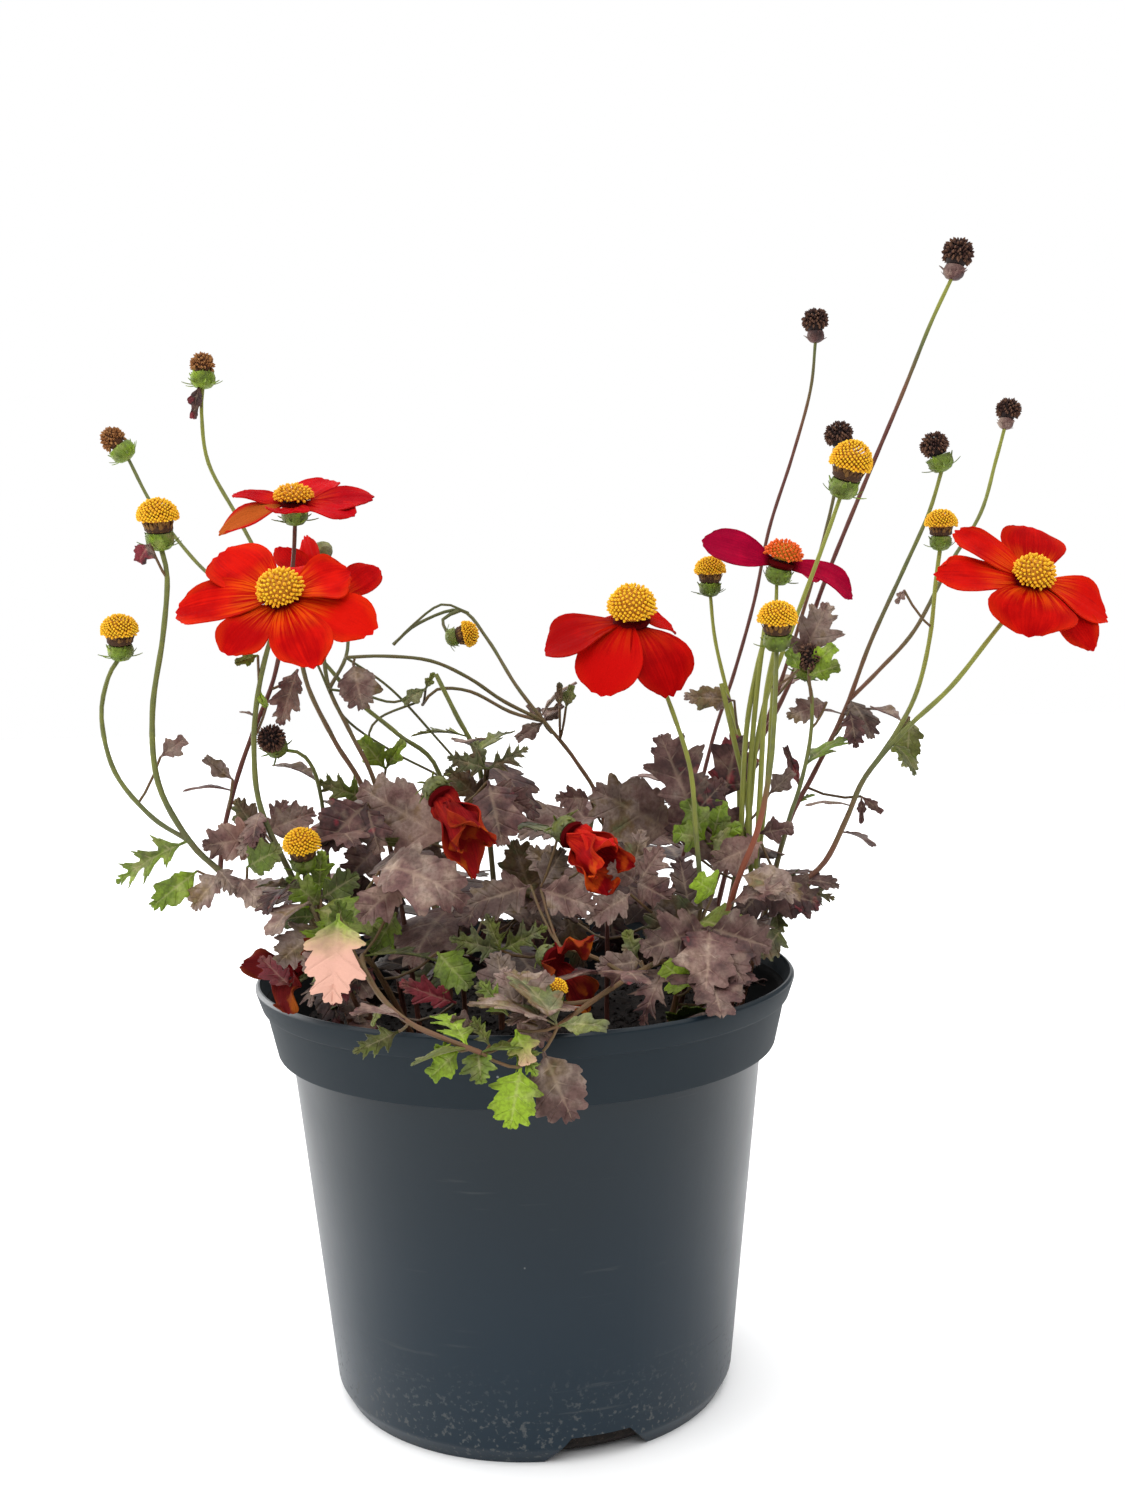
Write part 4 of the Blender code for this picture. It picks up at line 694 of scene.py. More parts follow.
class Graph:
    """A node tree that is wired by short calls."""

    def __init__(self, tree: bpy.types.NodeTree) -> None:
        """Work on a node tree."""
        self.tree = tree

    def feed(self, socket: Socket, value: Value) -> None:
        """Lead a value to a socket.

        Args:
            socket: The socket.
            value: Another node's output, a number, or three numbers for a colour or vector.
        """
        if isinstance(value, Socket):
            self.tree.links.new(value, socket)
        else:
            socket.default_value = (*value, 1.0) if socket.type == "RGBA" else value

    def node(
        self, kind: str, inputs: dict[str | int, Value] | None = None, **settings: object
    ) -> bpy.types.Node:
        """Add a node.

        Args:
            kind: The node's type name.
            inputs: What goes to its sockets, by name or number.
            settings: The node's own properties.

        Returns:
            The new node.
        """
        made = self.tree.nodes.new(kind)
        for name, value in settings.items():
            setattr(made, name, value)
        for key, value in (inputs or {}).items():
            self.feed(made.inputs[key], value)
        return made

    def math(self, operation: str, first: Value, second: Value = 0.0, clamp: bool = False) -> Socket:
        """One step of arithmetic on sockets or numbers."""
        made = self.node("ShaderNodeMath", {0: first, 1: second}, operation=operation, use_clamp=clamp)
        return made.outputs[0]

    def plus(self, first: Value, second: Value, clamp: bool = False) -> Socket:
        """A sum."""
        return self.math("ADD", first, second, clamp)

    def minus(self, first: Value, second: Value, clamp: bool = False) -> Socket:
        """A difference."""
        return self.math("SUBTRACT", first, second, clamp)

    def times(self, first: Value, second: Value) -> Socket:
        """A product."""
        return self.math("MULTIPLY", first, second)

    def vector(self, first: Value, second: Value, third: Value) -> Socket:
        """Three numbers as one vector."""
        return self.node("ShaderNodeCombineXYZ", {0: first, 1: second, 2: third}).outputs[0]

    def split(self, vector: Socket) -> bpy.types.NodeOutputs:
        """A vector's three numbers."""
        return self.node("ShaderNodeSeparateXYZ", {0: vector}).outputs

    def attribute(self, mark: Mark) -> Socket:
        """A named attribute's value, for a shader."""
        return self.node("ShaderNodeAttribute", attribute_name=mark.value).outputs["Fac"]

    def mix(self, share: Value, first: Value, second: Value, blend: str = "MIX") -> Socket:
        """Mix two colours."""
        inputs = {0: share, 6: first, 7: second}
        return self.node("ShaderNodeMix", inputs, data_type="RGBA", blend_type=blend).outputs[2]

    def ramp(self, value: Socket, stops: tuple[tuple[float, Rgb], ...]) -> Socket:
        """A colour ramp.

        Args:
            value: The socket that drives it.
            stops: Places and colours, in order.

        Returns:
            The colour socket.
        """
        made = self.node("ShaderNodeValToRGB", {0: value})
        elements = made.color_ramp.elements
        while len(elements) < len(stops):
            elements.new(0.5)
        for element, (place, colour) in zip(elements, stops):
            element.position = place
            element.color = (*colour, 1.0)
        return made.outputs[0]

    def noise(self, vector: Socket, scale: float, detail: float = 3.0, roughness: float = 0.55) -> Socket:
        """A noise texture's value."""
        inputs = {"Vector": vector, "Scale": scale, "Detail": detail, "Roughness": roughness}
        return self.node("ShaderNodeTexNoise", inputs).outputs[0]

    def streaks(self, vector: Socket, scale: Row, detail: float) -> Socket:
        """Noise on stretched coordinates."""
        stretched = self.node("ShaderNodeMapping", {"Vector": vector, "Scale": scale}).outputs[0]
        return self.noise(stretched, 1.0, detail)

    def band(self, value: Socket, low: float, high: float) -> Socket:
        """A smooth step from 0 at low to 1 at high."""
        inputs = {0: value, 1: low, 2: high}
        return self.node("ShaderNodeMapRange", inputs, interpolation_type="SMOOTHSTEP").outputs[0]

    def fall(self, value: Socket, low: float, high: float) -> Socket:
        """A smooth step from 1 at low to 0 at high."""
        return self.minus(1.0, self.band(value, low, high))


class Skin(Graph):
    """A Principled material while it is put together."""

    def __init__(self, name: str, **constants: float) -> None:
        """Start a material.

        Args:
            name: The material's name.
            constants: Values for the shader's own sockets, with _ for a space.
        """
        self.material = bpy.data.materials.new(name)
        self.material.use_nodes = True
        super().__init__(self.material.node_tree)
        self.shader = self.tree.nodes["Principled BSDF"]
        for key, value in constants.items():
            self.shader.inputs[key.replace("_", " ")].default_value = value
        self.place = self.node("ShaderNodeTexCoord").outputs["Object"]

    def dressed(
        self, colour: Value, roughness: Socket | None, height: Socket, depth: float, strength: float = 1.0
    ) -> bpy.types.Material:
        """Lead the results into the shader.

        Args:
            colour: The base colour.
            roughness: The roughness, where it isn't a constant.
            height: The relief, from 0 to 1.
            depth: The relief's depth in millimetres.
            strength: The relief's strength.

        Returns:
            The finished material.
        """
        bump = self.node("ShaderNodeBump", {"Strength": strength, "Distance": depth * MM, "Height": height})
        for key, value in (("Base Color", colour), ("Roughness", roughness), ("Normal", bump.outputs[0])):
            if value is not None:
                self.feed(self.shader.inputs[key], value)
        return self.material


@dataclass(frozen=True)
class MouldedPot:
    """Dark slate plastic: dull sheen, faint scuffs round it, dust and specks towards the foot, and painted
    shade on the inner wall.
    """

    upper: Rgb = (0.0020, 0.0085, 0.0140)
    lower: Rgb = (0.0020, 0.0130, 0.0245)
    dust: Rgb = (0.16, 0.16, 0.15)
    fleck: Rgb = (0.55, 0.56, 0.55)
    # Painted shade: the near-black for the inner wall, in place of the shadow inside the pot
    inside: Rgb = (0.0012, 0.0016, 0.0018)
    foot_top: float = 0.034
    collar_foot: float = 0.108
    lip: float = 0.1303

    def material(self) -> bpy.types.Material:
        """Build the finish.

        Returns:
            The material.
        """
        skin = Skin("moulded_pot_plastic", Specular_IOR_Level=0.28)
        height = skin.split(skin.place)[2]
        clouds = skin.noise(skin.place, 22.0, 4.0)
        tone = skin.plus(skin.band(height, 0.005, 0.115), skin.times(clouds, 0.35))
        base = skin.mix(skin.minus(tone, 0.15, True), self.lower, self.upper)
        lines = skin.streaks(skin.place, (30.0, 30.0, 420.0), 3.0)
        scuff = skin.times(skin.band(lines, 0.62, 0.78), skin.band(clouds, 0.45, 0.62))
        base = skin.mix(skin.times(scuff, 0.20), base, self.dust)
        specks = skin.noise(skin.place, 620.0, 2.0)
        grime = skin.times(skin.band(specks, 0.56, 0.70), skin.fall(height, 0.004, self.foot_top))
        base = skin.mix(skin.times(grime, 0.42), base, self.dust)
        spots = skin.node("ShaderNodeTexVoronoi", {"Vector": skin.place, "Scale": 150.0}).outputs[0]
        sparse = skin.band(skin.noise(skin.place, 60.0, 1.0), 0.60, 0.66)
        base = skin.mix(skin.times(skin.times(skin.fall(spots, 0.03, 0.07), sparse), 0.55), base, self.fleck)
        # Painted shade: faces on the inner wall, marked by the pot, turn near-black and rougher
        inner = skin.attribute(Mark.SHADE)
        collar = skin.minus(
            skin.band(height, self.collar_foot, self.collar_foot + 0.002),
            skin.band(height, self.lip, self.lip + 0.0007),
        )
        rough = skin.plus(skin.times(clouds, 0.16), 0.28)
        rough = skin.plus(rough, skin.times(inner, 0.6))
        rough = skin.plus(rough, skin.times(collar, 0.34))
        rough = skin.plus(rough, skin.times(skin.math("MAXIMUM", grime, scuff), 0.3), True)
        relief = skin.plus(skin.times(specks, 0.4), scuff)
        return skin.dressed(skin.mix(inner, base, self.inside), rough, relief, 0.05, 0.5)


@dataclass(frozen=True)
class PottingMix:
    """Dark peat with paler fibres."""

    dark: Rgb = (0.005, 0.0035, 0.003)
    brown: Rgb = (0.014, 0.009, 0.007)
    fibre: Rgb = (0.060, 0.042, 0.030)

    def material(self) -> bpy.types.Material:
        """Build the finish.

        Returns:
            The material.
        """
        skin = Skin("potting_mix", Roughness=0.95, Specular_IOR_Level=0.25)
        grain = skin.noise(skin.place, 420.0, 5.0, 0.7)
        base = skin.mix(skin.band(grain, 0.35, 0.68), self.dark, self.brown)
        clump = skin.noise(skin.place, 900.0, 2.0)
        base = skin.mix(skin.times(skin.band(clump, 0.62, 0.72), 0.5), base, self.fibre)
        return skin.dressed(base, None, grain, 0.6)


@dataclass(frozen=True)
class LeafSkin:
    """Leaf: from purple brown to lime by its tone, with paler veins, blotches and a dull bloom."""

    tones: tuple[tuple[float, Rgb], ...] = (
        (0.0, (0.200, 0.020, 0.030)), (0.05, (0.040, 0.015, 0.016)), (0.14, (0.105, 0.042, 0.038)),
        (0.25, (0.175, 0.098, 0.082)), (0.35, (0.240, 0.172, 0.140)), (0.43, (0.155, 0.095, 0.040)),
        (0.52, (0.130, 0.145, 0.060)), (0.66, (0.135, 0.155, 0.022)), (0.82, (0.120, 0.185, 0.014)),
        (1.0, (0.230, 0.350, 0.014)),
    )
    bloom: Rgb = (0.21, 0.165, 0.11)
    blotch: Rgb = (0.36, 0.30, 0.27)
    mottle: Rgb = (0.34, 0.27, 0.22)
    vein: Rgb = (0.32, 0.24, 0.16)
    pink: Rgb = (0.62, 0.335, 0.255)

    def material(self) -> bpy.types.Material:
        """Build the finish.

        Returns:
            The material.
        """
        skin = Skin("bidens_leaf", Specular_IOR_Level=0.3)
        clouds = skin.noise(skin.place, 120.0, 3.0)
        shift = skin.times(skin.minus(clouds, 0.5), 0.75)
        colour = skin.ramp(skin.plus(skin.attribute(Mark.TONE), shift, True), self.tones)
        fine = skin.noise(skin.place, 1100.0, 3.0)
        patch = skin.noise(skin.place, 170.0, 2.0)
        colour = skin.mix(skin.times(skin.band(patch, 0.50, 0.68), 0.45), colour, self.bloom, "SCREEN")
        dark = skin.times(skin.band(skin.noise(skin.place, 110.0, 2.0), 0.46, 0.66), 0.70)
        colour = skin.mix(dark, colour, self.blotch, "MULTIPLY")
        colour = skin.mix(skin.times(skin.band(fine, 0.42, 0.62), 0.38), colour, self.mottle, "MULTIPLY")
        # The shade mark scales the colour: a random tone, and painted shade on leaves deep in the crown
        light = skin.plus(skin.times(skin.attribute(Mark.SHADE), 0.90), 0.60, True)
        grey = skin.node("ShaderNodeCombineColor", dict.fromkeys((0, 1, 2), light)).outputs[0]
        colour = skin.mix(1.0, colour, grey, "MULTIPLY")
        paler = skin.mix(0.5, colour, self.vein, "SCREEN")
        vein = skin.attribute(Mark.VEIN)
        colour = skin.mix(skin.times(skin.band(vein, 0.60, 1.0), 0.60), colour, paler)
        blush = skin.times(skin.attribute(Mark.BLUSH), skin.plus(clouds, 0.5))
        colour = skin.mix(skin.band(blush, 0.1, 0.75), colour, self.pink)
        rough = skin.plus(skin.times(clouds, 0.25), 0.45)
        return skin.dressed(colour, rough, skin.minus(skin.plus(fine, patch), vein), 0.24, 0.9)


@dataclass(frozen=True)
class StalkSkin:
    """Stalk: maroon brown at the foot, olive above, faint lines along it."""

    tones: tuple[tuple[float, Rgb], ...] = (
        (0.0, (0.080, 0.016, 0.020)), (0.35, (0.130, 0.058, 0.030)), (0.65, (0.088, 0.098, 0.036)),
        (0.95, (0.210, 0.220, 0.040)),
    )
    flushed: Rgb = (0.230, 0.060, 0.034)

    def material(self) -> bpy.types.Material:
        """Build the finish.

        Returns:
            The material.
        """
        skin = Skin("bidens_stalk", Specular_IOR_Level=0.2)
        mottle = skin.noise(skin.place, 260.0, 3.0)
        tone = skin.plus(skin.attribute(Mark.TONE), skin.times(mottle, 0.3))
        colour = skin.ramp(skin.minus(tone, 0.15, True), self.tones)
        colour = skin.mix(skin.attribute(Mark.BLUSH), colour, self.flushed)
        lines = skin.streaks(skin.place, (900.0, 900.0, 60.0), 2.0)
        return skin.dressed(colour, skin.plus(skin.times(mottle, 0.3), 0.38), lines, 0.12, 0.7)


@dataclass(frozen=True)
class PetalSkin:
    """Petal: deep base, streaks of yellow orange from the middle, orange edges."""

    name: str
    tint: BloomTint
    dry: bool = False
    core: Rgb = (0.075, 0.002, 0.003)
    ochre: Rgb = (0.36, 0.085, 0.012)

    def material(self) -> bpy.types.Material:
        """Build the finish.

        Returns:
            The material.
        """
        skin = Skin(self.name, Specular_IOR_Level=0.012)
        warmth = self.tint.warmth
        bright, deep, orange, flare = self.colours()
        uv = skin.node("ShaderNodeUVMap", uv_map="blade").outputs[0]
        place = skin.split(uv)
        across, along = skin.math("ABSOLUTE", skin.minus(place[0], 0.5)), place[1]
        shade = skin.attribute(Mark.SHADE)
        offset = skin.vector(0.0, 0.0, skin.times(shade, 7.0))
        moved_uv = skin.node("ShaderNodeVectorMath", {0: uv, 1: offset}, operation="ADD").outputs[0]
        streak = skin.streaks(moved_uv, (26.0, 1.6, 1.0), 3.0)
        cloud = skin.noise(skin.place, 130.0, 3.0)
        mood = skin.plus(skin.times(cloud, 0.7), skin.times(streak, 0.5))
        mood = skin.plus(mood, skin.times(shade, 0.4))
        colour = skin.mix(skin.band(mood, 0.55, 0.98), deep, bright)
        window = skin.times(skin.band(along, 0.04, 0.16), skin.fall(along, 0.20, 0.58))
        flame = skin.times(skin.band(streak, 0.40, 0.62), window)
        colour = skin.mix(skin.times(flame, warmth * (0.25 if self.dry else 1.0)), colour, flare)
        edge = skin.plus(across, skin.times(skin.band(along, 0.62, 1.0), 0.16))
        margin = skin.times(skin.band(edge, 0.30, 0.52), skin.band(along, 0.30, 0.75))
        colour = skin.mix(skin.times(margin, (0.3 if self.dry else 0.6) * warmth), colour, orange)
        colour = skin.mix(skin.fall(along, 0.02, 0.15), colour, self.core)
        if self.dry:
            flush = skin.times(skin.band(cloud, 0.53, 0.63), skin.band(along, 0.35, 0.9))
            colour = skin.mix(skin.times(flush, warmth), colour, orange)
        tan = skin.times(skin.attribute(Mark.BLUSH), skin.band(across, 0.5, 0.30))
        rough = skin.plus(skin.times(streak, 0.2), 0.42)
        return skin.dressed(skin.mix(tan, colour, self.ochre), rough, streak, 0.25 if self.dry else 0.14, 0.8)

    def colours(self) -> tuple[Rgb, Rgb, Rgb, Rgb]:
        """Work out the colours for this tint.

        Returns:
            The bright, deep, orange and flare colours.
        """
        warm, depth, rose = self.tint.warmth, self.tint.depth, self.tint.magenta
        bright = (0.60 - 0.36 * depth, 0.002 + 0.008 * warm * (1 - depth), 0.002 + 0.026 * rose)
        deep = (0.36 - 0.22 * depth, 0.0008, 0.0012 + 0.018 * rose)
        orange = (0.70 - 0.3 * depth, 0.042 - 0.03 * depth, 0.003 + 0.02 * rose)
        flare = (0.80 - 0.4 * depth, 0.14 - 0.11 * depth, 0.003 + 0.02 * rose)
        if self.dry:
            bright = (0.50 - 0.42 * depth, 0.008, 0.008)
            deep = (0.17 - 0.14 * depth, 0.002, 0.004)
            orange = (0.66 - 0.20 * depth, 0.10 + 0.04 * depth, 0.008)
        return bright, deep, orange, flare


@dataclass(frozen=True)
class GrainSkin:
    """Florets or seeds: dark at the root of each, lighter at its tip, each a little different."""

    name: str
    root: Rgb
    tip: Rgb
    other: Rgb
    roughness: float = 0.7
    rose: Rgb = (0.80, 0.10, 0.012)

    def material(self) -> bpy.types.Material:
        """Build the finish.

        Returns:
            The material.
        """
        skin = Skin(self.name, Roughness=self.roughness, Specular_IOR_Level=0.3)
        tip = skin.mix(skin.band(skin.attribute(Mark.SHADE), 0.35, 0.95), self.tip, self.other)
        tip = skin.mix(skin.attribute(Mark.BLUSH), tip, self.rose)
        colour = skin.mix(skin.band(skin.attribute(Mark.RISE), 0.15, 0.75), self.root, tip)
        grain = skin.noise(skin.place, 1500.0, 2.0)
        return skin.dressed(skin.mix(skin.times(grain, 0.3), colour, self.root), None, grain, 0.1, 0.6)


GRAINS = (
    GrainSkin("golden_floret", (0.46, 0.18, 0.005), (0.86, 0.54, 0.016), (0.80, 0.40, 0.008)),
    GrainSkin("withered_floret", (0.030, 0.012, 0.006), (0.16, 0.070, 0.020), (0.30, 0.15, 0.03), 0.85),
    GrainSkin("dry_seed", (0.014, 0.006, 0.005), (0.052, 0.020, 0.015), (0.150, 0.070, 0.038), 0.8),
    GrainSkin("brown_tuft", (0.090, 0.030, 0.010), (0.30, 0.12, 0.035), (0.40, 0.19, 0.060), 0.8),
)


class Finishes:
    """The finishes that several pieces share."""

    def __init__(self) -> None:
        """Build each of them once."""
        self.pot, self.soil = MouldedPot().material(), PottingMix().material()
        self.leaf, self.stalk = LeafSkin().material(), StalkSkin().material()
        self.floret, self.band, self.seed, self.tuft = (grain.material() for grain in GRAINS)


def smooth_point(route: tuple | list, at: float) -> Vector:
    """A point on the smooth curve through a route's points.

    Args:
        route: The points.
        at: The place, as index plus part.

    Returns:
        The point, in millimetres.
    """
    index = min(int(at), len(route) - 2)
    part = at - index
    second = Vector(route[index])
    third = Vector(route[index + 1])
    first = Vector(route[index - 1]) if index > 0 else 2 * second - third
    fourth = Vector(route[index + 2]) if index + 2 < len(route) else 2 * third - second
    return 0.5 * (
        2 * second
        + (third - first) * part
        + (2 * first - 5 * second + 4 * third - fourth) * part**2
        + (3 * second - first - 3 * third + fourth) * part**3
    )


def turned(degrees: float, axis: str) -> Matrix:
    """A turn about an axis."""
    return Matrix.Rotation(math.radians(degrees), 4, axis)


def raised(height: float) -> Matrix:
    """A shift along +Z."""
    return Matrix.Translation(Vector((0.0, 0.0, height)))


def facing(heading: float, rise: float) -> Matrix:
    """The turn that takes +Z to a heading and rise, with +X on its lower side."""
    return turned(heading, "Z") @ turned(90.0 - rise, "Y")


def growing(heading: float, rise: float, roll: float) -> Matrix:
    """The turn that takes +X to a heading and rise, rolled about itself."""
    return turned(heading, "Z") @ turned(-rise, "Y") @ turned(roll, "X")


def head_place(head: Head) -> Matrix:
    """Place a head.

    Args:
        head: The head.

    Returns:
        Its placing, in millimetres: +Z is the way it faces, and zero is the top of its cup.
    """
    turn = facing(head.heading, head.rise)
    base = Vector(head.middle) - turn.to_3x3() @ Vector((0.0, 0.0, HEAD_DROP[head.kind] * head.size))
    return Matrix.Translation(base) @ turn


def moved(points: np.ndarray, matrix: Matrix) -> np.ndarray:
    """Points carried by a matrix, in millimetres."""
    whole = np.array(matrix)
    return points @ whole[:3, :3].T + whole[:3, 3]


def clamped(value: float) -> float:
    """A number kept between 0 and 1."""
    return min(max(value, 0.0), 1.0)


def linked(name: str, data: bpy.types.ID) -> bpy.types.Object:
    """Put data in an object and the object in the scene.

    Args:
        name: The object's name.
        data: Its mesh, camera or lamp.

    Returns:
        The object.
    """
    made = bpy.data.objects.new(name, data)
    bpy.context.scene.collection.objects.link(made)
    return made


def evaluated(made: bpy.types.Object) -> bpy.types.Mesh:
    """The plain mesh that an object's modifiers give."""
    bpy.context.view_layer.update()
    return bpy.data.meshes.new_from_object(made.evaluated_get(bpy.context.evaluated_depsgraph_get()))


def marked(mesh: bpy.types.Mesh, label: str, values: list | np.ndarray, domain: str = "POINT") -> None:
    """Store a named attribute on a mesh."""
    mesh.attributes.new(label, "FLOAT", domain).data.foreach_set("value", np.asarray(values, np.float32))


def plain_mesh(name: str, points: np.ndarray, faces: list) -> bpy.types.Mesh:
    """A mesh in metres from points in millimetres.

    Args:
        name: The mesh's name.
        points: Its vertices.
        faces: Its faces.

    Returns:
        The mesh.
    """
    mesh = bpy.data.meshes.new(name)
    mesh.from_pydata((points * MM).tolist(), [], faces)
    return mesh


def freed(name: str, bm: bmesh.types.BMesh) -> bpy.types.Mesh:
    """Turn a bmesh into a mesh.

    Args:
        name: The mesh's name.
        bm: The bmesh, which is freed.

    Returns:
        The mesh.
    """
    mesh = bpy.data.meshes.new(name)
    bm.to_mesh(mesh)
    bm.free()
    return mesh


class Draft:
    """The vertices, faces and marks of one piece while it is made, in millimetres."""

    def __init__(self) -> None:
        """Start empty."""
        self.points: list[np.ndarray] = []
        self.faces: list[list[int]] = []
        self.slots: list[int] = []
        self.uvs: list[np.ndarray] = []
        self.marks: dict[Mark, list[np.ndarray]] = {mark: [] for mark in Mark}
        self.count = 0

    def add(
        self, shape: Shape, place: Matrix | None = None, slot: int = 0, uv: np.ndarray | None = None,
        **marks: float | np.ndarray,
    ) -> None:
        """Add a shape.

        Args:
            shape: Its vertices, and its faces numbered from 0.
            place: Where it goes.
            slot: Its material's number on the piece.
            uv: Its map, one pair a vertex.
            marks: Its attributes by their names, one value or one a vertex.
        """
        points, faces = shape
        number = len(points)
        self.points.append(points if place is None else moved(points, place))
        self.faces.extend([[index + self.count for index in face] for face in faces])
        self.slots.extend([slot] * len(faces))
        self.uvs.append(np.zeros((number, 2)) if uv is None else uv)
        for mark, kept in self.marks.items():
            kept.append(np.broadcast_to(np.asarray(marks.get(mark.value, 0.0), float), (number,)))
        self.count += number

    def absorb(
        self, mesh: bpy.types.Mesh, place: Matrix | None = None, slot: int = 0, **marks: float | np.ndarray
    ) -> None:
        """Add a mesh in metres, with the marks that it carries, and remove it.

        Args:
            mesh: The mesh.
            place: Where it goes, in millimetres.
            slot: Its material's number on the piece.
            marks: Marks that it is given.
        """
        points = np.empty(len(mesh.vertices) * 3, np.float32)
        mesh.vertices.foreach_get("co", points)
        for mark in Mark:
            layer = mesh.attributes.get(mark.value)
            if layer is not None and layer.domain == "POINT" and mark.value not in marks:
                marks[mark.value] = np.empty(len(mesh.vertices), np.float32)
                layer.data.foreach_get("value", marks[mark.value])
        faces = [list(face.vertices) for face in mesh.polygons]
        self.add((points.reshape(-1, 3).astype(float) / MM, faces), place, slot, None, **marks)
        bpy.data.meshes.remove(mesh)

    def finish(
        self, name: str, materials: tuple[bpy.types.Material, ...], slot: Slot, node: str,
        smooth: float = 60.0,
    ) -> None:
        """Make the piece, at the origin, and set it on the frame.

        Args:
            name: Its name.
            materials: Its materials, in slot order.
            slot: Not used.
            node: The solid that it stands for.
            smooth: The angle, in degrees, past which an edge is sharp.
        """
        mesh = plain_mesh(name, np.vstack(self.points), self.faces)
        mesh.polygons.foreach_set("material_index", np.array(self.slots, np.int32))
        corners = np.empty(len(mesh.loops), np.int32)
        mesh.loops.foreach_get("vertex_index", corners)
        layer = mesh.uv_layers.new(name="blade")
        layer.data.foreach_set("uv", np.vstack(self.uvs)[corners].astype(np.float32).ravel())
        for mark, kept in self.marks.items():
            values = np.concatenate(kept)
            if values.any():
                marked(mesh, mark.value, values)
        for material in materials:
            mesh.materials.append(material)
        settled(linked(name, mesh), node, smooth)


def settled(piece: bpy.types.Object, node: str, smooth: float) -> None:
    """Smooth a piece and set it on the frame.

    Args:
        piece: The piece.
        node: The solid that it stands for.
        smooth: The angle, in degrees, past which an edge is sharp.
    """
    piece.data.shade_smooth()
    piece.data.set_sharp_from_angle(angle=math.radians(smooth))
    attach(piece, ROOT)
    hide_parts(node)
    log.info("%s: %d faces, for %s", piece.name, len(piece.data.polygons), node)


def shell(grid: np.ndarray, thickness: float) -> Shape:
    """Give a sheet of points its thickness.

    Args:
        grid: Rows of columns of points.
        thickness: The thickness between its two faces.

    Returns:
        The vertices and faces of the closed blade.
    """
    rows, columns = grid.shape[:2]
    normal = np.cross(np.gradient(grid, axis=0), np.gradient(grid, axis=1))
    normal /= np.maximum(np.linalg.norm(normal, axis=2, keepdims=True), 1e-9)
    points = np.vstack([(grid + normal * half).reshape(-1, 3) for half in (thickness / 2, -thickness / 2)])
    lower = rows * columns
    faces = []
    for start in range(0, lower - columns, columns):
        for a in range(start, start + columns - 1):
            quad = [a, a + columns, a + columns + 1, a + 1]
            faces += [quad, [index + lower for index in reversed(quad)]]
    edge = [*range(0, lower, columns), *range(lower - columns + 1, lower)]
    edge += [*range(lower - columns - 1, 0, -columns), *range(columns - 2, 0, -1)]
    after = edge[1:] + edge[:1]
    faces += [[second, first, first + lower, second + lower] for first, second in zip(edge, after)]
    return points, faces


def lathe(outline: Outline, sides: int) -> Shape:
    """Turn an outline round +Z.

    Args:
        outline: Radius and height, from the axis round to the axis, upwards on the outer side.
        sides: The number of sides.

    Returns:
        The vertices and faces of the closed solid.
    """
    turn = np.arange(sides) * 2 * math.pi / sides
    rows = [
        np.column_stack([radius * np.cos(turn), radius * np.sin(turn), np.full(sides, height)])
        for radius, height in outline
    ]
    faces = [
        [low + side, low + (side + 1) % sides, low + sides + (side + 1) % sides, low + sides + side]
        for low in range(0, (len(rows) - 1) * sides, sides)
        for side in range(sides)
    ]
    faces += [list(range(sides - 1, -1, -1)), list(range((len(rows) - 1) * sides, len(rows) * sides))]
    return np.vstack(rows), faces


def small_form(name: str, sections: tuple[Row, ...], sides: int) -> bpy.types.Mesh:
    """A small closed form, marked by its height.

    Args:
        name: The mesh's name.
        sections: Its rings' heights, widths and depths.
        sides: The number of sides.

    Returns:
        The mesh, in metres.
    """
    turn = np.arange(sides) * 2 * math.pi / sides
    points, faces = lathe([(1.0, height) for height, _, _ in sections], sides)
    points[:, 0] = np.concatenate([width * np.cos(turn) for _, width, _ in sections])
    points[:, 1] = np.concatenate([depth * np.sin(turn) for _, _, depth in sections])
    mesh = plain_mesh(name, points, faces)
    marked(mesh, Mark.RISE.value, (points[:, 2] - sections[0][0]) / (sections[-1][0] - sections[0][0]))
    return mesh


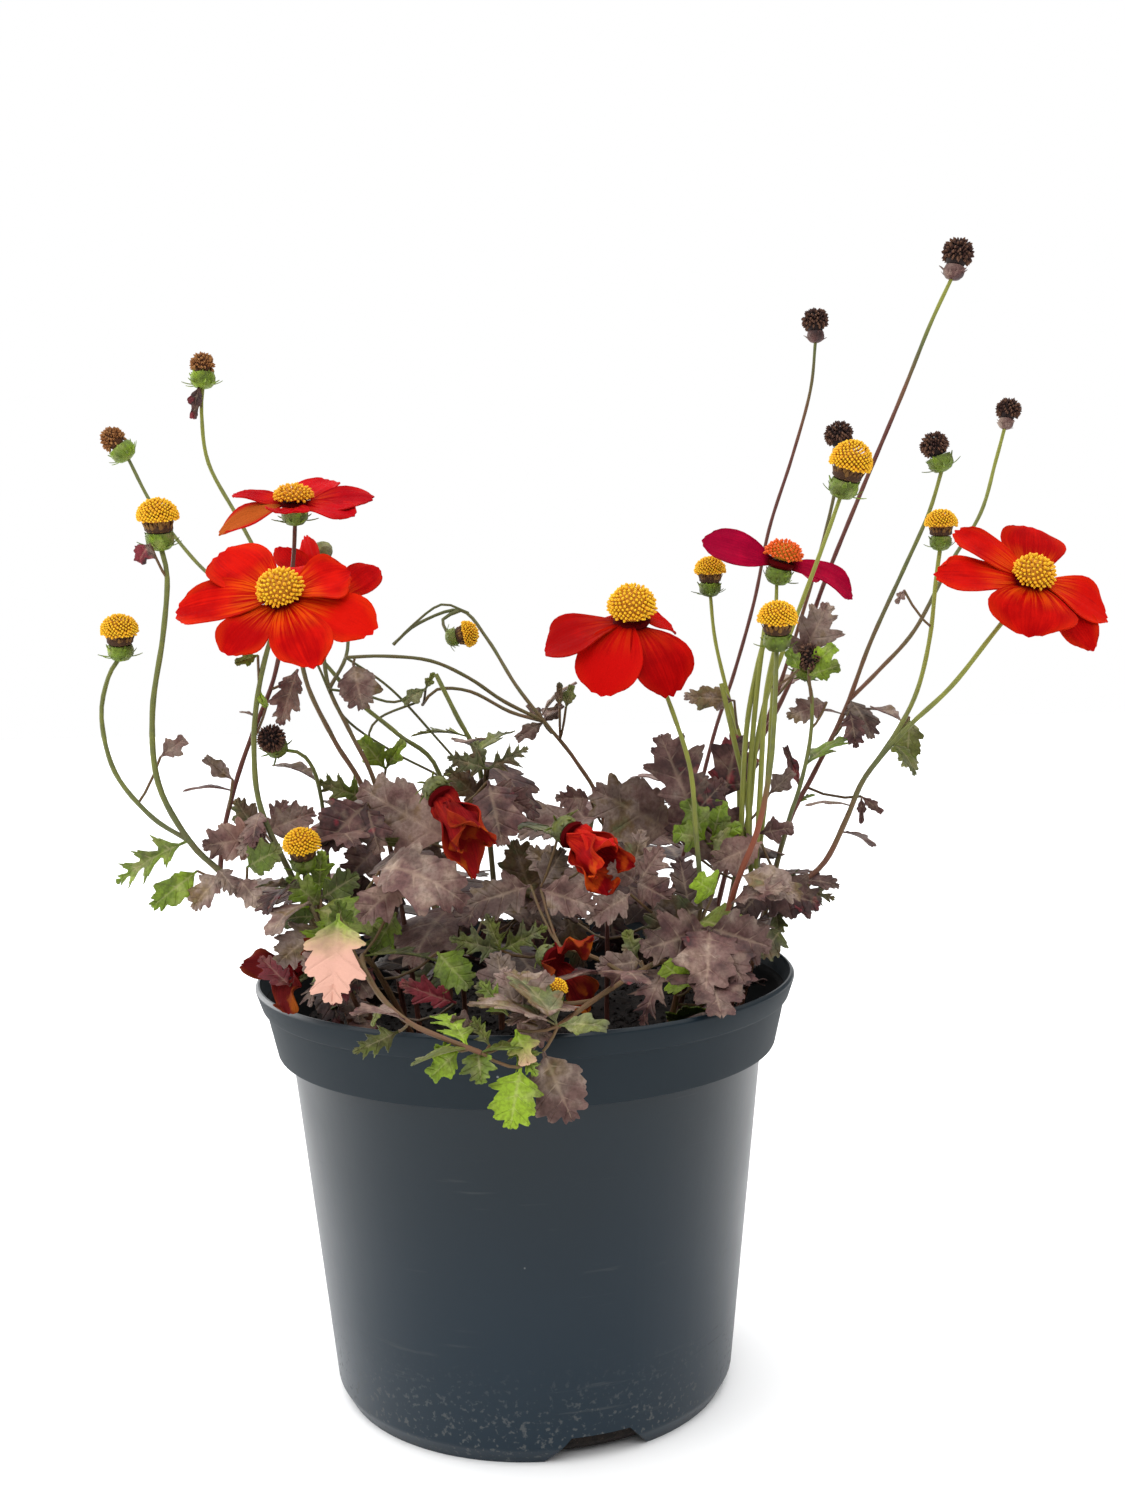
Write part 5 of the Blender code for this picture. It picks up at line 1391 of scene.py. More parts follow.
class BladeMaker:
    """Leaves, petals and bracts: a drooping rib, an edge that follows a table, folds and ripples."""

    def __init__(self, seed: int) -> None:
        """Seed the draws."""
        self.draw = random.Random(seed)

    @staticmethod
    def sheet(
        length: float, along: np.ndarray, across: np.ndarray, droop: float, lift: np.ndarray
    ) -> np.ndarray:
        """Lay a flat pattern over a rib that droops evenly.

        Args:
            length: The rib's length.
            along: Place along the rib of each point.
            across: Place across it.
            droop: The whole turn of the rib, in degrees.
            lift: Height above it.

        Returns:
            The grid of points.
        """
        bend = math.radians(droop if abs(droop) > 1.0 else 1.0) / length
        angle = bend * along
        x, z = np.sin(angle) / bend, (np.cos(angle) - 1.0) / bend
        return np.stack([x + np.sin(angle) * lift, across, z + np.cos(angle) * lift], axis=-1)

    def leaf(
        self, form: str, length: float, droop: float, wide: float = 1.0, thickness: float = 0.38
    ) -> tuple[Shape, np.ndarray, np.ndarray]:
        """A cut leaf, some cut deeper than others.

        Args:
            form: Its form's name.
            length: The rib's length.
            droop: The rib's droop.
            wide: Its breadth, as a share of the form's.
            thickness: The blade's thickness.

        Returns:
            Shape, map and veins.
        """
        edges = LEAF_FORMS[form].rows(self.draw.uniform(*LEAF_FORMS[form].fill))
        rib, reach, _, tooth = (edges[:, column:column + 1] for column in range(4))
        half = edges[:, 2:3] * (wide * LEAF_BREADTH)
        parts = np.array([-1.0, -0.72, -0.36, 0.0, 0.36, 0.72, 1.0])
        size = np.abs(parts)[None, :]
        along = np.empty((len(edges), len(parts)))
        across = np.empty_like(along)
        for side in (-1, 1):
            grow = 1.0 + self.draw.uniform(-0.12, 0.12)
            jitter = 0.13 * np.sin(rib * self.draw.uniform(11.0, 19.0) + self.draw.uniform(0, 6.3))
            chosen = parts * side >= 0
            share = size[:, chosen]
            along[:, chosen] = rib + share * (reach + 0.4 * jitter * half - rib)
            across[:, chosen] = half * grow * (1.0 + jitter) * share * side
        along *= length
        across = np.where(np.abs(across) * length < 0.02, 0.0, across * length)
        fold = 0.16 + self.draw.uniform(-0.08, 0.14)
        phase = self.draw.uniform(0, 6.3)
        flat = np.abs(across) / length
        lift = fold * np.abs(across)
        lift = lift + length * 0.012 * np.sin(along / length * 13.0 + phase) * np.minimum(flat * 5.0, 1.4)
        lift = lift + 0.5 * (1.0 - tooth) * size * (1.0 - size)
        curl = self.draw.uniform(-0.5, 0.9) * length * 0.35
        lift = lift - curl * flat**2 * 2.0
        shape = shell(self.sheet(length, along, across, droop, lift), thickness)
        vein = np.maximum(np.repeat(tooth, len(parts), 1) * 0.8, (size < 0.1) * 1.0)
        uv = np.stack([np.broadcast_to(parts / 2 + 0.5, along.shape), along / length], axis=-1).reshape(-1, 2)
        return shape, np.vstack([uv, uv]), np.tile(vein.ravel(), 2)

    def petal(self, petal: Petal, wither: float = 0.0) -> tuple[Shape, np.ndarray]:
        """A broad petal with a notched tip and fine pleats.

        Args:
            petal: Its row in the table.
            wither: How crumpled it is.

        Returns:
            Shape and map.
        """
        rows = np.array(PETAL_ROWS)[:, None]
        parts = np.linspace(-1.0, 1.0, 13)[None, :]
        half = np.interp(rows, *np.array(PETAL_WIDTHS).T) * petal.width
        teeth = 0.012 + self.draw.uniform(-0.006, 0.010)
        lean = self.draw.uniform(-0.06, 0.06)
        point = self.draw.uniform(0.0, 0.55)
        half = half * (1.0 - 0.30 * point * np.clip((rows - 0.6) / 0.4, 0.0, 1.0))
        end = 0.99 - (0.05 + 0.07 * point) * np.abs(parts) ** 2
        end = end + teeth * np.cos(3 * math.pi * parts) + lean * parts
        along = rows * (1.0 + (end - 1.0) * rows**3) * petal.length
        across = half * parts
        phase = self.draw.uniform(0, 6.3)
        wave = (0.70 + 1.95 * wither) * np.sin(rows * (7.0 + 5.0 * wither) + phase)
        lift = 0.10 * np.abs(across) + wave * parts**2 * np.sign(parts + 0.01)
        lift = lift + 0.20 * np.cos(parts * math.pi * 4) * np.sin(math.pi * rows) ** 0.5
        tip_curl = self.draw.uniform(-1.6, 0.6) * rows**4
        lift = lift + tip_curl + 0.25 * wither * np.sin(rows * 19 + parts * 5 + phase)
        if wither:
            across = across * (1.0 - 0.35 * wither * rows)
            lift = lift + 0.35 * wither * np.abs(across)
        uv = np.stack(np.broadcast_arrays(parts / 2 + 0.5, rows), axis=-1).reshape(-1, 2)
        grid = self.sheet(petal.length, along, across, petal.droop, lift)
        return shell(grid, 0.42), np.vstack([uv, uv])

    def bract(self, length: float, width: float, droop: float) -> bpy.types.Mesh:
        """A narrow pointed bract along +X.

        Args:
            length: Its length.
            width: Its width.
            droop: The rib's droop.

        Returns:
            The mesh, in metres.
        """
        place, half = (column[:, None] for column in np.array(BRACT_EDGE).T)
        along = np.repeat(place, 3, 1) * length
        across = half * np.array([[-1.0, 0.0, 1.0]]) * width / 0.28
        grid = self.sheet(length, along, across, droop, 0.35 * np.abs(across))
        return plain_mesh("bract", *shell(grid, 0.3))


class Recipe(Graph):
    """A Geometry Nodes tree with named inputs, run on a carrier to give a plain mesh."""

    KINDS = {"Count": "Int", "Seed": "Int", "Sides": "Int", "Piece": "Object", "Finish": "Material"}

    def __init__(self, name: str, sockets: str) -> None:
        """Start a tree.

        Args:
            name: Its name.
            sockets: Its inputs' names. Those not in KINDS are numbers.
        """
        super().__init__(bpy.data.node_groups.new(name, "GeometryNodeTree"))
        face = self.tree.interface
        face.new_socket("Geometry", in_out="INPUT", socket_type="NodeSocketGeometry")
        self.identifiers: dict[str, str] = {}
        for key in sockets.split():
            kind = "NodeSocket" + self.KINDS.get(key, "Float")
            self.identifiers[key] = face.new_socket(key, in_out="INPUT", socket_type=kind).identifier
        face.new_socket("Geometry", in_out="OUTPUT", socket_type="NodeSocketGeometry")
        self.given = self.node("NodeGroupInput").outputs

    def end(self, geometry: Socket) -> None:
        """Realize the instances, set the material and close the tree.

        Args:
            geometry: What the tree has made.
        """
        real = self.node("GeometryNodeRealizeInstances", {0: geometry}).outputs[0]
        dressed = self.node("GeometryNodeSetMaterial", {0: real, "Material": self.given["Finish"]})
        self.node("NodeGroupOutput", {0: dressed.outputs[0]})

    def wobble(self, low: Value, high: Value) -> Socket:
        """A seeded random number between two sockets or numbers."""
        inputs = {2: low, 3: high, "Seed": self.given["Seed"]}
        return self.node("FunctionNodeRandomValue", inputs, data_type="FLOAT").outputs[1]

    def sway(self, most: Value) -> Socket:
        """A seeded random number between a value and its opposite."""
        return self.wobble(self.times(most, -1.0), most)

    def dotted(self) -> Socket:
        """As many points as the count says."""
        return self.node("GeometryNodeMeshLine", {"Count": self.given["Count"]}).outputs[0]

    def scatter(self, points: Socket, turns: tuple[Value, Value, Value], size: Socket) -> None:
        """Put the given piece on points, each with a random shade, and end the tree.

        Args:
            points: The points.
            turns: The turn about each axis.
            size: The scale.
        """
        spin = self.node("FunctionNodeEulerToRotation", {0: self.vector(*turns)}).outputs[0]
        source = self.node("GeometryNodeObjectInfo", {"Object": self.given["Piece"]}).outputs["Geometry"]
        inputs = {"Points": points, "Instance": source, "Rotation": spin, "Scale": size}
        placed = self.node("GeometryNodeInstanceOnPoints", inputs).outputs[0]
        inputs = {"Geometry": placed, "Name": Mark.SHADE.value, "Value": self.wobble(0.0, 1.0)}
        kept = self.node("GeometryNodeStoreNamedAttribute", inputs, data_type="FLOAT", domain="INSTANCE")
        self.end(kept.outputs[0])

    def ring(self, radius: Value, turn: Socket, height: Value) -> Socket:
        """Place the points round the axis.

        Args:
            radius: Their distance from it.
            turn: Their angle about it.
            height: Their height.

        Returns:
            The points.
        """
        x, y = (self.times(radius, self.math(wave, turn)) for wave in ("COSINE", "SINE"))
        inputs = {"Geometry": self.dotted(), "Position": self.vector(x, y, height)}
        return self.node("GeometryNodeSetPosition", inputs).outputs[0]

    def run(self, carrier: bpy.types.Mesh | None = None, **values: object) -> bpy.types.Mesh:
        """Run the tree.

        Args:
            carrier: The mesh it works on, or None.
            values: Its inputs.

        Returns:
            The plain mesh.
        """
        base = carrier or bpy.data.meshes.new("carrier")
        made = linked("carrier", base)
        modifier = made.modifiers.new("grow", "NODES")
        modifier.node_group = self.tree
        for key, value in values.items():
            modifier[self.identifiers[key]] = value
        mesh = evaluated(made)
        made.modifiers.remove(modifier)
        bpy.data.objects.remove(made)
        bpy.data.meshes.remove(base)
        return mesh


def dome_recipe() -> Recipe:
    """Pieces on a dome in a sunflower spiral, each standing square to it.

    Returns:
        The tree.
    """
    recipe = Recipe("dome_of_florets", "Count Radius Height Opening Size Wobble Seed Piece Finish")
    given = recipe.given
    index = recipe.node("GeometryNodeInputIndex").outputs[0]
    share = recipe.math("DIVIDE", recipe.plus(index, 0.5), given["Count"])
    lean = recipe.times(recipe.math("SQRT", share), given["Opening"])
    turn = recipe.times(index, GOLDEN_ANGLE)
    flat = recipe.times(recipe.math("SINE", lean), given["Radius"])
    placed = recipe.ring(flat, turn, recipe.times(recipe.math("COSINE", lean), given["Height"]))
    tilt = recipe.plus(lean, recipe.sway(given["Wobble"]))
    recipe.scatter(placed, (0.0, tilt, turn), recipe.times(given["Size"], recipe.wobble(0.82, 1.16)))
    return recipe


def whorl_recipe() -> Recipe:
    """Pieces in a ring, leaning out, that lie along +X before they are turned.

    Returns:
        The tree.
    """
    recipe = Recipe("whorl_of_bracts", "Count Radius Height Lift Start Size Wobble Seed Piece Finish")
    given = recipe.given
    index = recipe.node("GeometryNodeInputIndex").outputs[0]
    full = recipe.math("DIVIDE", recipe.times(index, 2 * math.pi), given["Count"])
    turn = recipe.plus(recipe.plus(full, given["Start"]), recipe.sway(given["Wobble"]))
    placed = recipe.ring(given["Radius"], turn, given["Height"])
    low, high = (recipe.times(given["Wobble"], share) for share in (-1.4, 1.4))
    lift = recipe.plus(recipe.times(given["Lift"], -1.0), recipe.wobble(low, high))
    recipe.scatter(placed, (0.0, lift, turn), recipe.times(given["Size"], recipe.wobble(0.8, 1.2)))
    return recipe


def strewn_recipe() -> Recipe:
    """Pieces strewn over a surface by a seeded draw.

    Returns:
        The tree.
    """
    recipe = Recipe("strewn_crumbs", "Density Smallest Largest Seed Piece Finish")
    given = recipe.given
    inputs = {"Mesh": given["Geometry"], "Density": given["Density"], "Seed": given["Seed"]}
    spots = recipe.node("GeometryNodeDistributePointsOnFaces", inputs).outputs[0]
    turns = tuple(recipe.wobble(0.0, most) for most in (6.3, 3.1, 5.9))
    recipe.scatter(spots, turns, recipe.wobble(given["Smallest"], given["Largest"]))
    return recipe


def stalk_recipe() -> Recipe:
    """A round stalk along each line of the carrier, as thick as its marks say.

    Returns:
        The tree.
    """
    recipe = Recipe("stalk_along_route", "Sides Finish")
    curve = recipe.node("GeometryNodeMeshToCurve", {0: recipe.given["Geometry"]}).outputs[0]
    thick = recipe.node("GeometryNodeInputNamedAttribute", {"Name": "thickness"}, data_type="FLOAT")
    inputs = {"Resolution": recipe.given["Sides"], "Radius": 1.0}
    ring = recipe.node("GeometryNodeCurvePrimitiveCircle", inputs).outputs[0]
    inputs = {"Curve": curve, "Profile Curve": ring, "Scale": thick.outputs[0], "Fill Caps": True}
    recipe.end(recipe.node("GeometryNodeCurveToMesh", inputs).outputs[0])
    return recipe


class Workshop:
    """Small pieces and recipes that the sub-assemblies share, cleared away at the end."""

    FLORET = ((0.0, 0.20, 0.20), (1.1, 0.30, 0.30), (1.75, 0.52, 0.52), (2.0, 0.40, 0.40), (2.35, 0.14, 0.14))
    SHORT = ((0.0, 0.34, 0.34), (0.7, 0.52, 0.52), (1.1, 0.40, 0.40), (1.35, 0.10, 0.10))
    ACHENE = ((0.0, 0.36, 0.30), (0.9, 0.64, 0.50), (1.9, 0.74, 0.56), (2.5, 0.44, 0.34), (3.0, 0.12, 0.10))

    def __init__(self, finishes: Finishes) -> None:
        """Make the small pieces and the trees.

        Args:
            finishes: The finishes.
        """
        self.finishes = finishes
        self.dome, self.whorl = dome_recipe(), whorl_recipe()
        self.strewn, self.stalk = strewn_recipe(), stalk_recipe()
        maker = BladeMaker(5)
        self.kept = [
            linked(mesh.name, mesh)
            for mesh in (
                small_form("floret", self.FLORET, 6),
                small_form("short_floret", self.SHORT, 6),
                small_form("achene", self.ACHENE, 5),
                maker.bract(5.2, 2.0, 8.0),
                maker.bract(6.4, 1.0, -34.0),
                self.lump("crumb", 0.28, 1, 7),
            )
        ]
        self.floret, self.short, self.achene, self.scale, self.thread, self.crumb = self.kept

    @staticmethod
    def lump(name: str, rough: float, cuts: int, seed: int) -> bpy.types.Mesh:
        """A lump of one millimetre radius.

        Args:
            name: Its name.
            rough: How uneven it is.
            cuts: How often its faces are divided.
            seed: The seed of its unevenness.

        Returns:
            The mesh, in metres.
        """
        bm = bmesh.new()
        bmesh.ops.create_icosphere(bm, subdivisions=cuts, radius=MM)
        draw = random.Random(seed)
        for vertex in bm.verts:
            vertex.co *= 1.0 + draw.uniform(-rough, rough)
            vertex.co.z *= 0.8
        return freed(name, bm)

    def clear(self) -> None:
        """Remove the small pieces."""
        for made in self.kept:
            mesh = made.data
            bpy.data.objects.remove(made)
            bpy.data.meshes.remove(mesh)


@dataclass
class NurseryPot:
    """The moulded pot: a turned wall with a lip, a stepped collar, drain arches and drain holes."""

    sides: int = 128
    wall: float = 1.5
    floor: float = 2.0
    edge: float = 0.7
    outline: tuple[tuple[float, float], ...] = (
        (60.4, 0.0), (63.3, 5.0), (74.2, 108.8), (78.5, 109.6), (81.8, 124.2), (82.9, 124.6), (85.0, 130.8),
        (84.1, 131.8),
    )
    headings: tuple[float, ...] = (-73.0, 47.0, 167.0)
    arch_foot: float = 32.0
    arch_top: float = 18.0
    arch_height: float = 8.0
    arch_start: float = 46.0
    arch_end: float = 70.0
    drain_radius: float = 4.0
    drain_ring: float = 36.0
    drain_turn: float = 60.0
    shaded_top: float = 0.128

    def inset(self, distance: float) -> Outline:
        """Move the wall's outline in, square to each of its runs.

        Args:
            distance: How far.

        Returns:
            The points from the foot's corner to the lip.
        """
        points = self.outline[1:7]
        made = []
        for index, (radius, height) in enumerate(points):
            normals = []
            for other, sign in ((max(index - 1, 0), -1), (min(index + 1, len(points) - 1), 1)):
                run = Vector((points[other][0] - radius, points[other][1] - height)) * sign
                if run.length > 0:
                    normals.append(Vector((-run.y, run.x)).normalized())
            middle = sum(normals, Vector((0.0, 0.0))).normalized()
            reach = distance / max(middle.dot(normals[0]), 0.5)
            made.append((radius + middle.x * reach, height + middle.y * reach))
        return made

    def softened(self, points: Outline | tuple) -> Outline:
        """Round the corners of an outline with three points each.

        Args:
            points: The outline.

        Returns:
            The rounded outline.
        """
        made = [points[0]]
        for before, corner, after in zip(points, points[1:], points[2:]):
            at = Vector(corner)
            back, on = Vector(before) - at, Vector(after) - at
            reach = min(self.edge, back.length * 0.4, on.length * 0.4)
            first = at + back.normalized() * reach
            last = at + on.normalized() * reach
            made.extend([tuple(first), tuple((first + 2 * at + last) / 4), tuple(last)])
        return [*made, points[-1]]

    def block(self, heading: float, grow: float) -> bpy.types.Object:
        """A cutter the shape of a drain arch.

        Args:
            heading: Where it stands.
            grow: How far its sides and top are moved out.

        Returns:
            The cutter.
        """
        bm = bmesh.new()
        bmesh.ops.create_cube(bm, size=1.0)
        flare = (self.arch_foot - self.arch_top) / self.arch_height
        for corner in bm.verts:
            height = self.arch_height + grow if corner.co.z > 0 else -5.0
            width = self.arch_foot - flare * height + 2 * grow
            along = self.arch_end if corner.co.x > 0 else self.arch_start - grow
            corner.co = Vector((along, math.copysign(width / 2, corner.co.y), height)) * MM
        bm.transform(turned(heading, "Z"))
        return linked("arch", freed("arch", bm))

    def drain(self, heading: float) -> bpy.types.Object:
        """A round cutter through the floor, a turn away from a drain arch.

        Args:
            heading: The arch's heading.

        Returns:
            The cutter.
        """
        bm = bmesh.new()
        turn = math.radians(heading + self.drain_turn)
        place = Vector((self.drain_ring * math.cos(turn), self.drain_ring * math.sin(turn), 0.0)) * MM
        radius = self.drain_radius * MM
        bmesh.ops.create_cone(
            bm, cap_ends=True, segments=24, radius1=radius, radius2=radius, depth=20 * MM,
            matrix=Matrix.Translation(place),
        )
        return linked("drain", freed("drain", bm))

    def carved(self, name: str, outline: Outline, cutters: list[bpy.types.Object]) -> bpy.types.Object:
        """Turn a solid, cut it and remove the cutters.

        Args:
            name: Its name.
            outline: Its outline.
            cutters: What cuts it.

        Returns:
            The cut solid.
        """
        made = linked(name, plain_mesh(name, *lathe(outline, self.sides)))
        for cutter in cutters:
            modifier = made.modifiers.new("cut", "BOOLEAN")
            modifier.operation = "DIFFERENCE"
            modifier.object = cutter
        mesh = evaluated(made)
        made.modifiers.clear()
        made.data = mesh
        for cutter in cutters:
            bpy.data.objects.remove(cutter)
        return made

    def build(self, finish: bpy.types.Material) -> None:
        """Build the pot.

        Args:
            finish: Its material.
        """
        inner = self.inset(self.wall)
        low = inner[0][0]
        inside = [(low - 3.0, self.floor), (low, self.floor + 3.0), *inner[1:], (inner[-1][0], 140.0)]
        keep = [self.block(heading, self.wall) for heading in self.headings]
        cutters = [self.carved("hollow", self.softened(inside), keep)]
        cutters += [self.block(heading, 0.0) for heading in self.headings]
        cutters += [self.drain(heading) for heading in self.headings]
        outer = [(0.02, 0.0), *self.softened(self.outline), (0.02, self.outline[-1][1])]
        body = self.carved("nursery_pot", outer, cutters)
        body.data.materials.clear()
        body.data.materials.append(finish)
        # Mark the inner wall's faces below the shaded top for the finish's painted shade
        painted_shade_faces = [
            face.center.z < self.shaded_top and face.normal.to_2d().dot(face.center.to_2d()) < -0.02 * MM
            for face in body.data.polygons
        ]
        marked(body.data, Mark.SHADE.value, painted_shade_faces, "FACE")
        settled(body, "pot", 35.0)


@dataclass
class PottingSoil:
    """The soil: a plug that follows the pot's inside, uneven above, strewn with crumbs."""

    shop: Workshop
    pot: NurseryPot
    level: float = 113.5
    bump: float = 2.2
    gap: float = 0.3
    sides: int = 72
    rings: int = 22
    # The smallest and the largest crumbs, how many there are on a square metre, and their seed
    crumbs: tuple[tuple[float, float, float, int], ...] = ((0.5, 1.3, 9.0e4, 12), (1.2, 2.6, 1.1e4, 13))

    def height(self, x: np.ndarray, y: np.ndarray) -> np.ndarray:
        """The surface's height.

        Args:
            x: Where it is asked for.
            y: The same.

        Returns:
            The heights.
        """
        wave = np.sin(0.11 * x + 1.3) * np.cos(0.13 * y - 0.4) + 0.6 * np.sin(0.27 * x - 0.21 * y)
        fine = 0.5 * np.sin(0.9 * x + 0.3 * y) * np.cos(0.8 * y) + 0.3 * np.sin(2.1 * x - 1.7 * y)
        return self.level + self.bump * wave / 1.6 + fine

    def build(self) -> None:
        """Build the soil."""
        inner = self.pot.inset(self.pot.wall + self.gap)
        inner = [point for point in inner if point[1] < self.level - 3.0]
        below, above = self.pot.outline[3:5]
        slope = (above[0] - below[0]) / (above[1] - below[1])
        edge = inner[-1][0] + (self.level - inner[-1][1]) * slope
        low = self.pot.floor + self.gap
        side = [(inner[0][0] - 3.0, low), (inner[0][0], low + 3.0), *inner[1:], (edge, self.level - 0.4)]
        top = [(edge * (1.0 - step / self.rings), self.level) for step in range(self.rings)]
        points, faces = lathe([*side, *top, (0.05, self.level)], self.sides)
        upper = points[:, 2] > self.level - 0.2
        points[upper, 2] = self.height(points[upper, 0], points[upper, 1])
        rim = upper & (np.hypot(points[:, 0], points[:, 1]) > edge - 0.5)
        points[rim, 2] = np.maximum(points[rim, 2], self.level - 0.2)
        draft = Draft()
        draft.add((points, faces))
        ground = [face for face in faces if all(upper[index] for index in face)]
        soil = self.shop.finishes.soil
        for smallest, largest, density, seed in self.crumbs:
            draft.absorb(self.shop.strewn.run(
                plain_mesh("ground", points, ground), Density=density, Smallest=smallest, Largest=largest,
                Seed=seed, Piece=self.shop.crumb, Finish=soil,
            ))
        draft.finish("potting_soil", (soil,), Slot.SOIL, "soil", 40.0)


class Lines:
    """The middle lines of a stem's stalks, with the thickness, tone and flush at each point."""

    def __init__(self) -> None:
        """Start empty."""
        self.points: list[Vector] = []
        self.edges: list[tuple[int, int]] = []
        self.marks: list[Row] = []

    def add(self, line: list[Vector], marks: list[Row]) -> None:
        """Add a line.

        Args:
            line: Its points.
            marks: Its marks at each of them.
        """
        start = len(self.points)
        self.edges.extend((start + index - 1, start + index) for index in range(1, len(line)))
        self.points.extend(line)
        self.marks.extend(marks)

    def mesh(self) -> bpy.types.Mesh:
        """Make the lines a mesh, marked for the tubes.

        Returns:
            The mesh, in metres.
        """
        mesh = bpy.data.meshes.new("route")
        mesh.from_pydata([tuple(point * MM) for point in self.points], self.edges, [])
        for label, values in zip(("thickness", Mark.TONE.value, Mark.BLUSH.value), np.array(self.marks).T):
            marked(mesh, label, values)
        return mesh


@dataclass
class LeafyStem:
    """A stem: stalks along their routes, cut leaves, green cups, and small leaves low in the crown."""

    shop: Workshop
    name: str
    stalks: tuple[Stalk, ...]
    seed: int
    crown: int = 5
    step: float = 3.0
    sides: int = 8
    taper: float = 0.30
    branch_taper: float = 0.15
    root_depth: float = 11.0
    petiole: float = 0.42
    petiole_drop: float = 9.0
    petiole_sag: float = 0.12
    petiole_tone: float = 0.45
    crown_reach: float = 78.0
    foot_tone: float = 0.15
    flush: float = 0.9
    knots: float = 0.05
    # A leaf is painted as lit from this height, or this far in front of the middle, over so many millimetres
    lit_height: tuple[float, float] = (130.0, 50.0)
    lit_front: tuple[float, float] = (15.0, 45.0)
    inner_shade: float = 0.55

    def __post_init__(self) -> None:
        """Start the piece and seed the draws."""
        self.draft, self.lines, self.maker = Draft(), Lines(), BladeMaker(self.seed)
        self.draw = random.Random(self.seed * 31 + 7)

    def sampled(self, route: tuple | list) -> list[Vector]:
        """Points close together along the smooth curve.

        Args:
            route: The points that it passes.

        Returns:
            The points.
        """
        points = []
        for index in range(len(route) - 1):
            span = (Vector(route[index + 1]) - Vector(route[index])).length
            steps = max(1, round(span / self.step))
            points.extend(smooth_point(route, index + step / steps) for step in range(steps))
        return [*points, Vector(route[-1])]

    def stalk_line(self, number: int, stalk: Stalk) -> None:
        """Add the line of a stalk, up into the cup that it carries.

        Args:
            number: The stalk's number on the stem, 0 being the main one.
            stalk: The stalk.
        """
        floor, roof = FLUSHED.get(self.name, (0.0, 0.0))
        low, high, most = STALK_TURN.get(stalk.carries, STALK_TURN.get(self.name, USUAL_TURN))
        route = list(stalk.route)
        if stalk.carries in HEADS:
            head = HEADS[stalk.carries]
            foot = -CUP_HEIGHT * head.size * head.cup + 1.5
            route.append(tuple(head_place(head) @ Vector((0.0, 0.0, foot))))
        line = self.sampled(route)
        if number == 0:
            line.insert(0, line[0] - Vector((0.0, 0.0, self.root_depth)))
        taper = self.branch_taper if number else self.taper
        draw = random.Random(self.seed + number)
        marks = []
        for index, point in enumerate(line):
            share = index / (len(line) - 1)
            knot = 1.0 + self.knots * math.sin(index * 1.7 + draw.uniform(0, 1))
            thick = STALK_SHARE * stalk.radius * (1.0 - taper * share) * knot * MM
            tone = self.foot_tone + most * clamped((point.z - low) / (high - low))
            flush = self.flush * clamped(min(roof - point.z, point.z - floor) / FLUSH_FADE)
            marks.append((thick, tone, flush))
        self.lines.add(line, marks)

    def tubes(self) -> None:
        """Add every stalk, leaf stalk and sprig as round tubes."""
        for number, stalk in enumerate(self.stalks):
            self.stalk_line(number, stalk)
        stalks = list(self.lines.points)
        for frond in FRONDS.get(self.name, ()):
            root = Vector(frond.root)
            below = root - Vector((0.0, 0.0, self.petiole_drop))
            near = min(stalks, key=lambda point: (point - below).length)
            bend = (near + root) / 2 - Vector((0.0, 0.0, self.petiole_sag * (near - root).length))
            line = [near, near * 0.4 + bend * 0.6, bend * 0.6 + root * 0.4, root]
            self.lines.add(line, [(self.petiole * MM, self.petiole_tone, 0.0)] * len(line))
        strong, bright = (2.0, 0.9) if self.name.startswith("stem_right") else (1.0, 0.6)
        for sprig in SPRIGS.get(self.name, ()):
            line = self.sampled(sprig)
            self.lines.add(line, [(strong * self.petiole * MM, bright, 0.0)] * len(line))
        finish = self.shop.finishes.stalk
        self.draft.absorb(self.shop.stalk.run(self.lines.mesh(), Sides=self.sides, Finish=finish))

    def lay(
        self, blade: tuple[Shape, np.ndarray, np.ndarray], place: Matrix, tone: float, blush: float = 0.0
    ) -> None:
        """Add one leaf, with painted shade that darkens it the deeper it sits in the crown.

        Args:
            blade: Its shape, map and veins.
            place: Its placing.
            tone: Its colour, from purple to lime.
            blush: How pink it is towards its root, or below zero towards its tip.
        """
        shape, uv, vein = blade
        pink = blush * (1.0 - uv[:, 1]) if blush > 0.0 else -blush * uv[:, 1]
        _, near, height = moved(shape[0], place).mean(axis=0)
        above, before = height - self.lit_height[0], -near - self.lit_front[0]
        lit = clamped(max(above / self.lit_height[1], before / self.lit_front[1]))
        shade = self.draw.random() - self.inner_shade * (1.0 - lit)
        self.draft.add(shape, place, 1, uv, tone=tone, vein=vein, blush=pink, shade=shade)

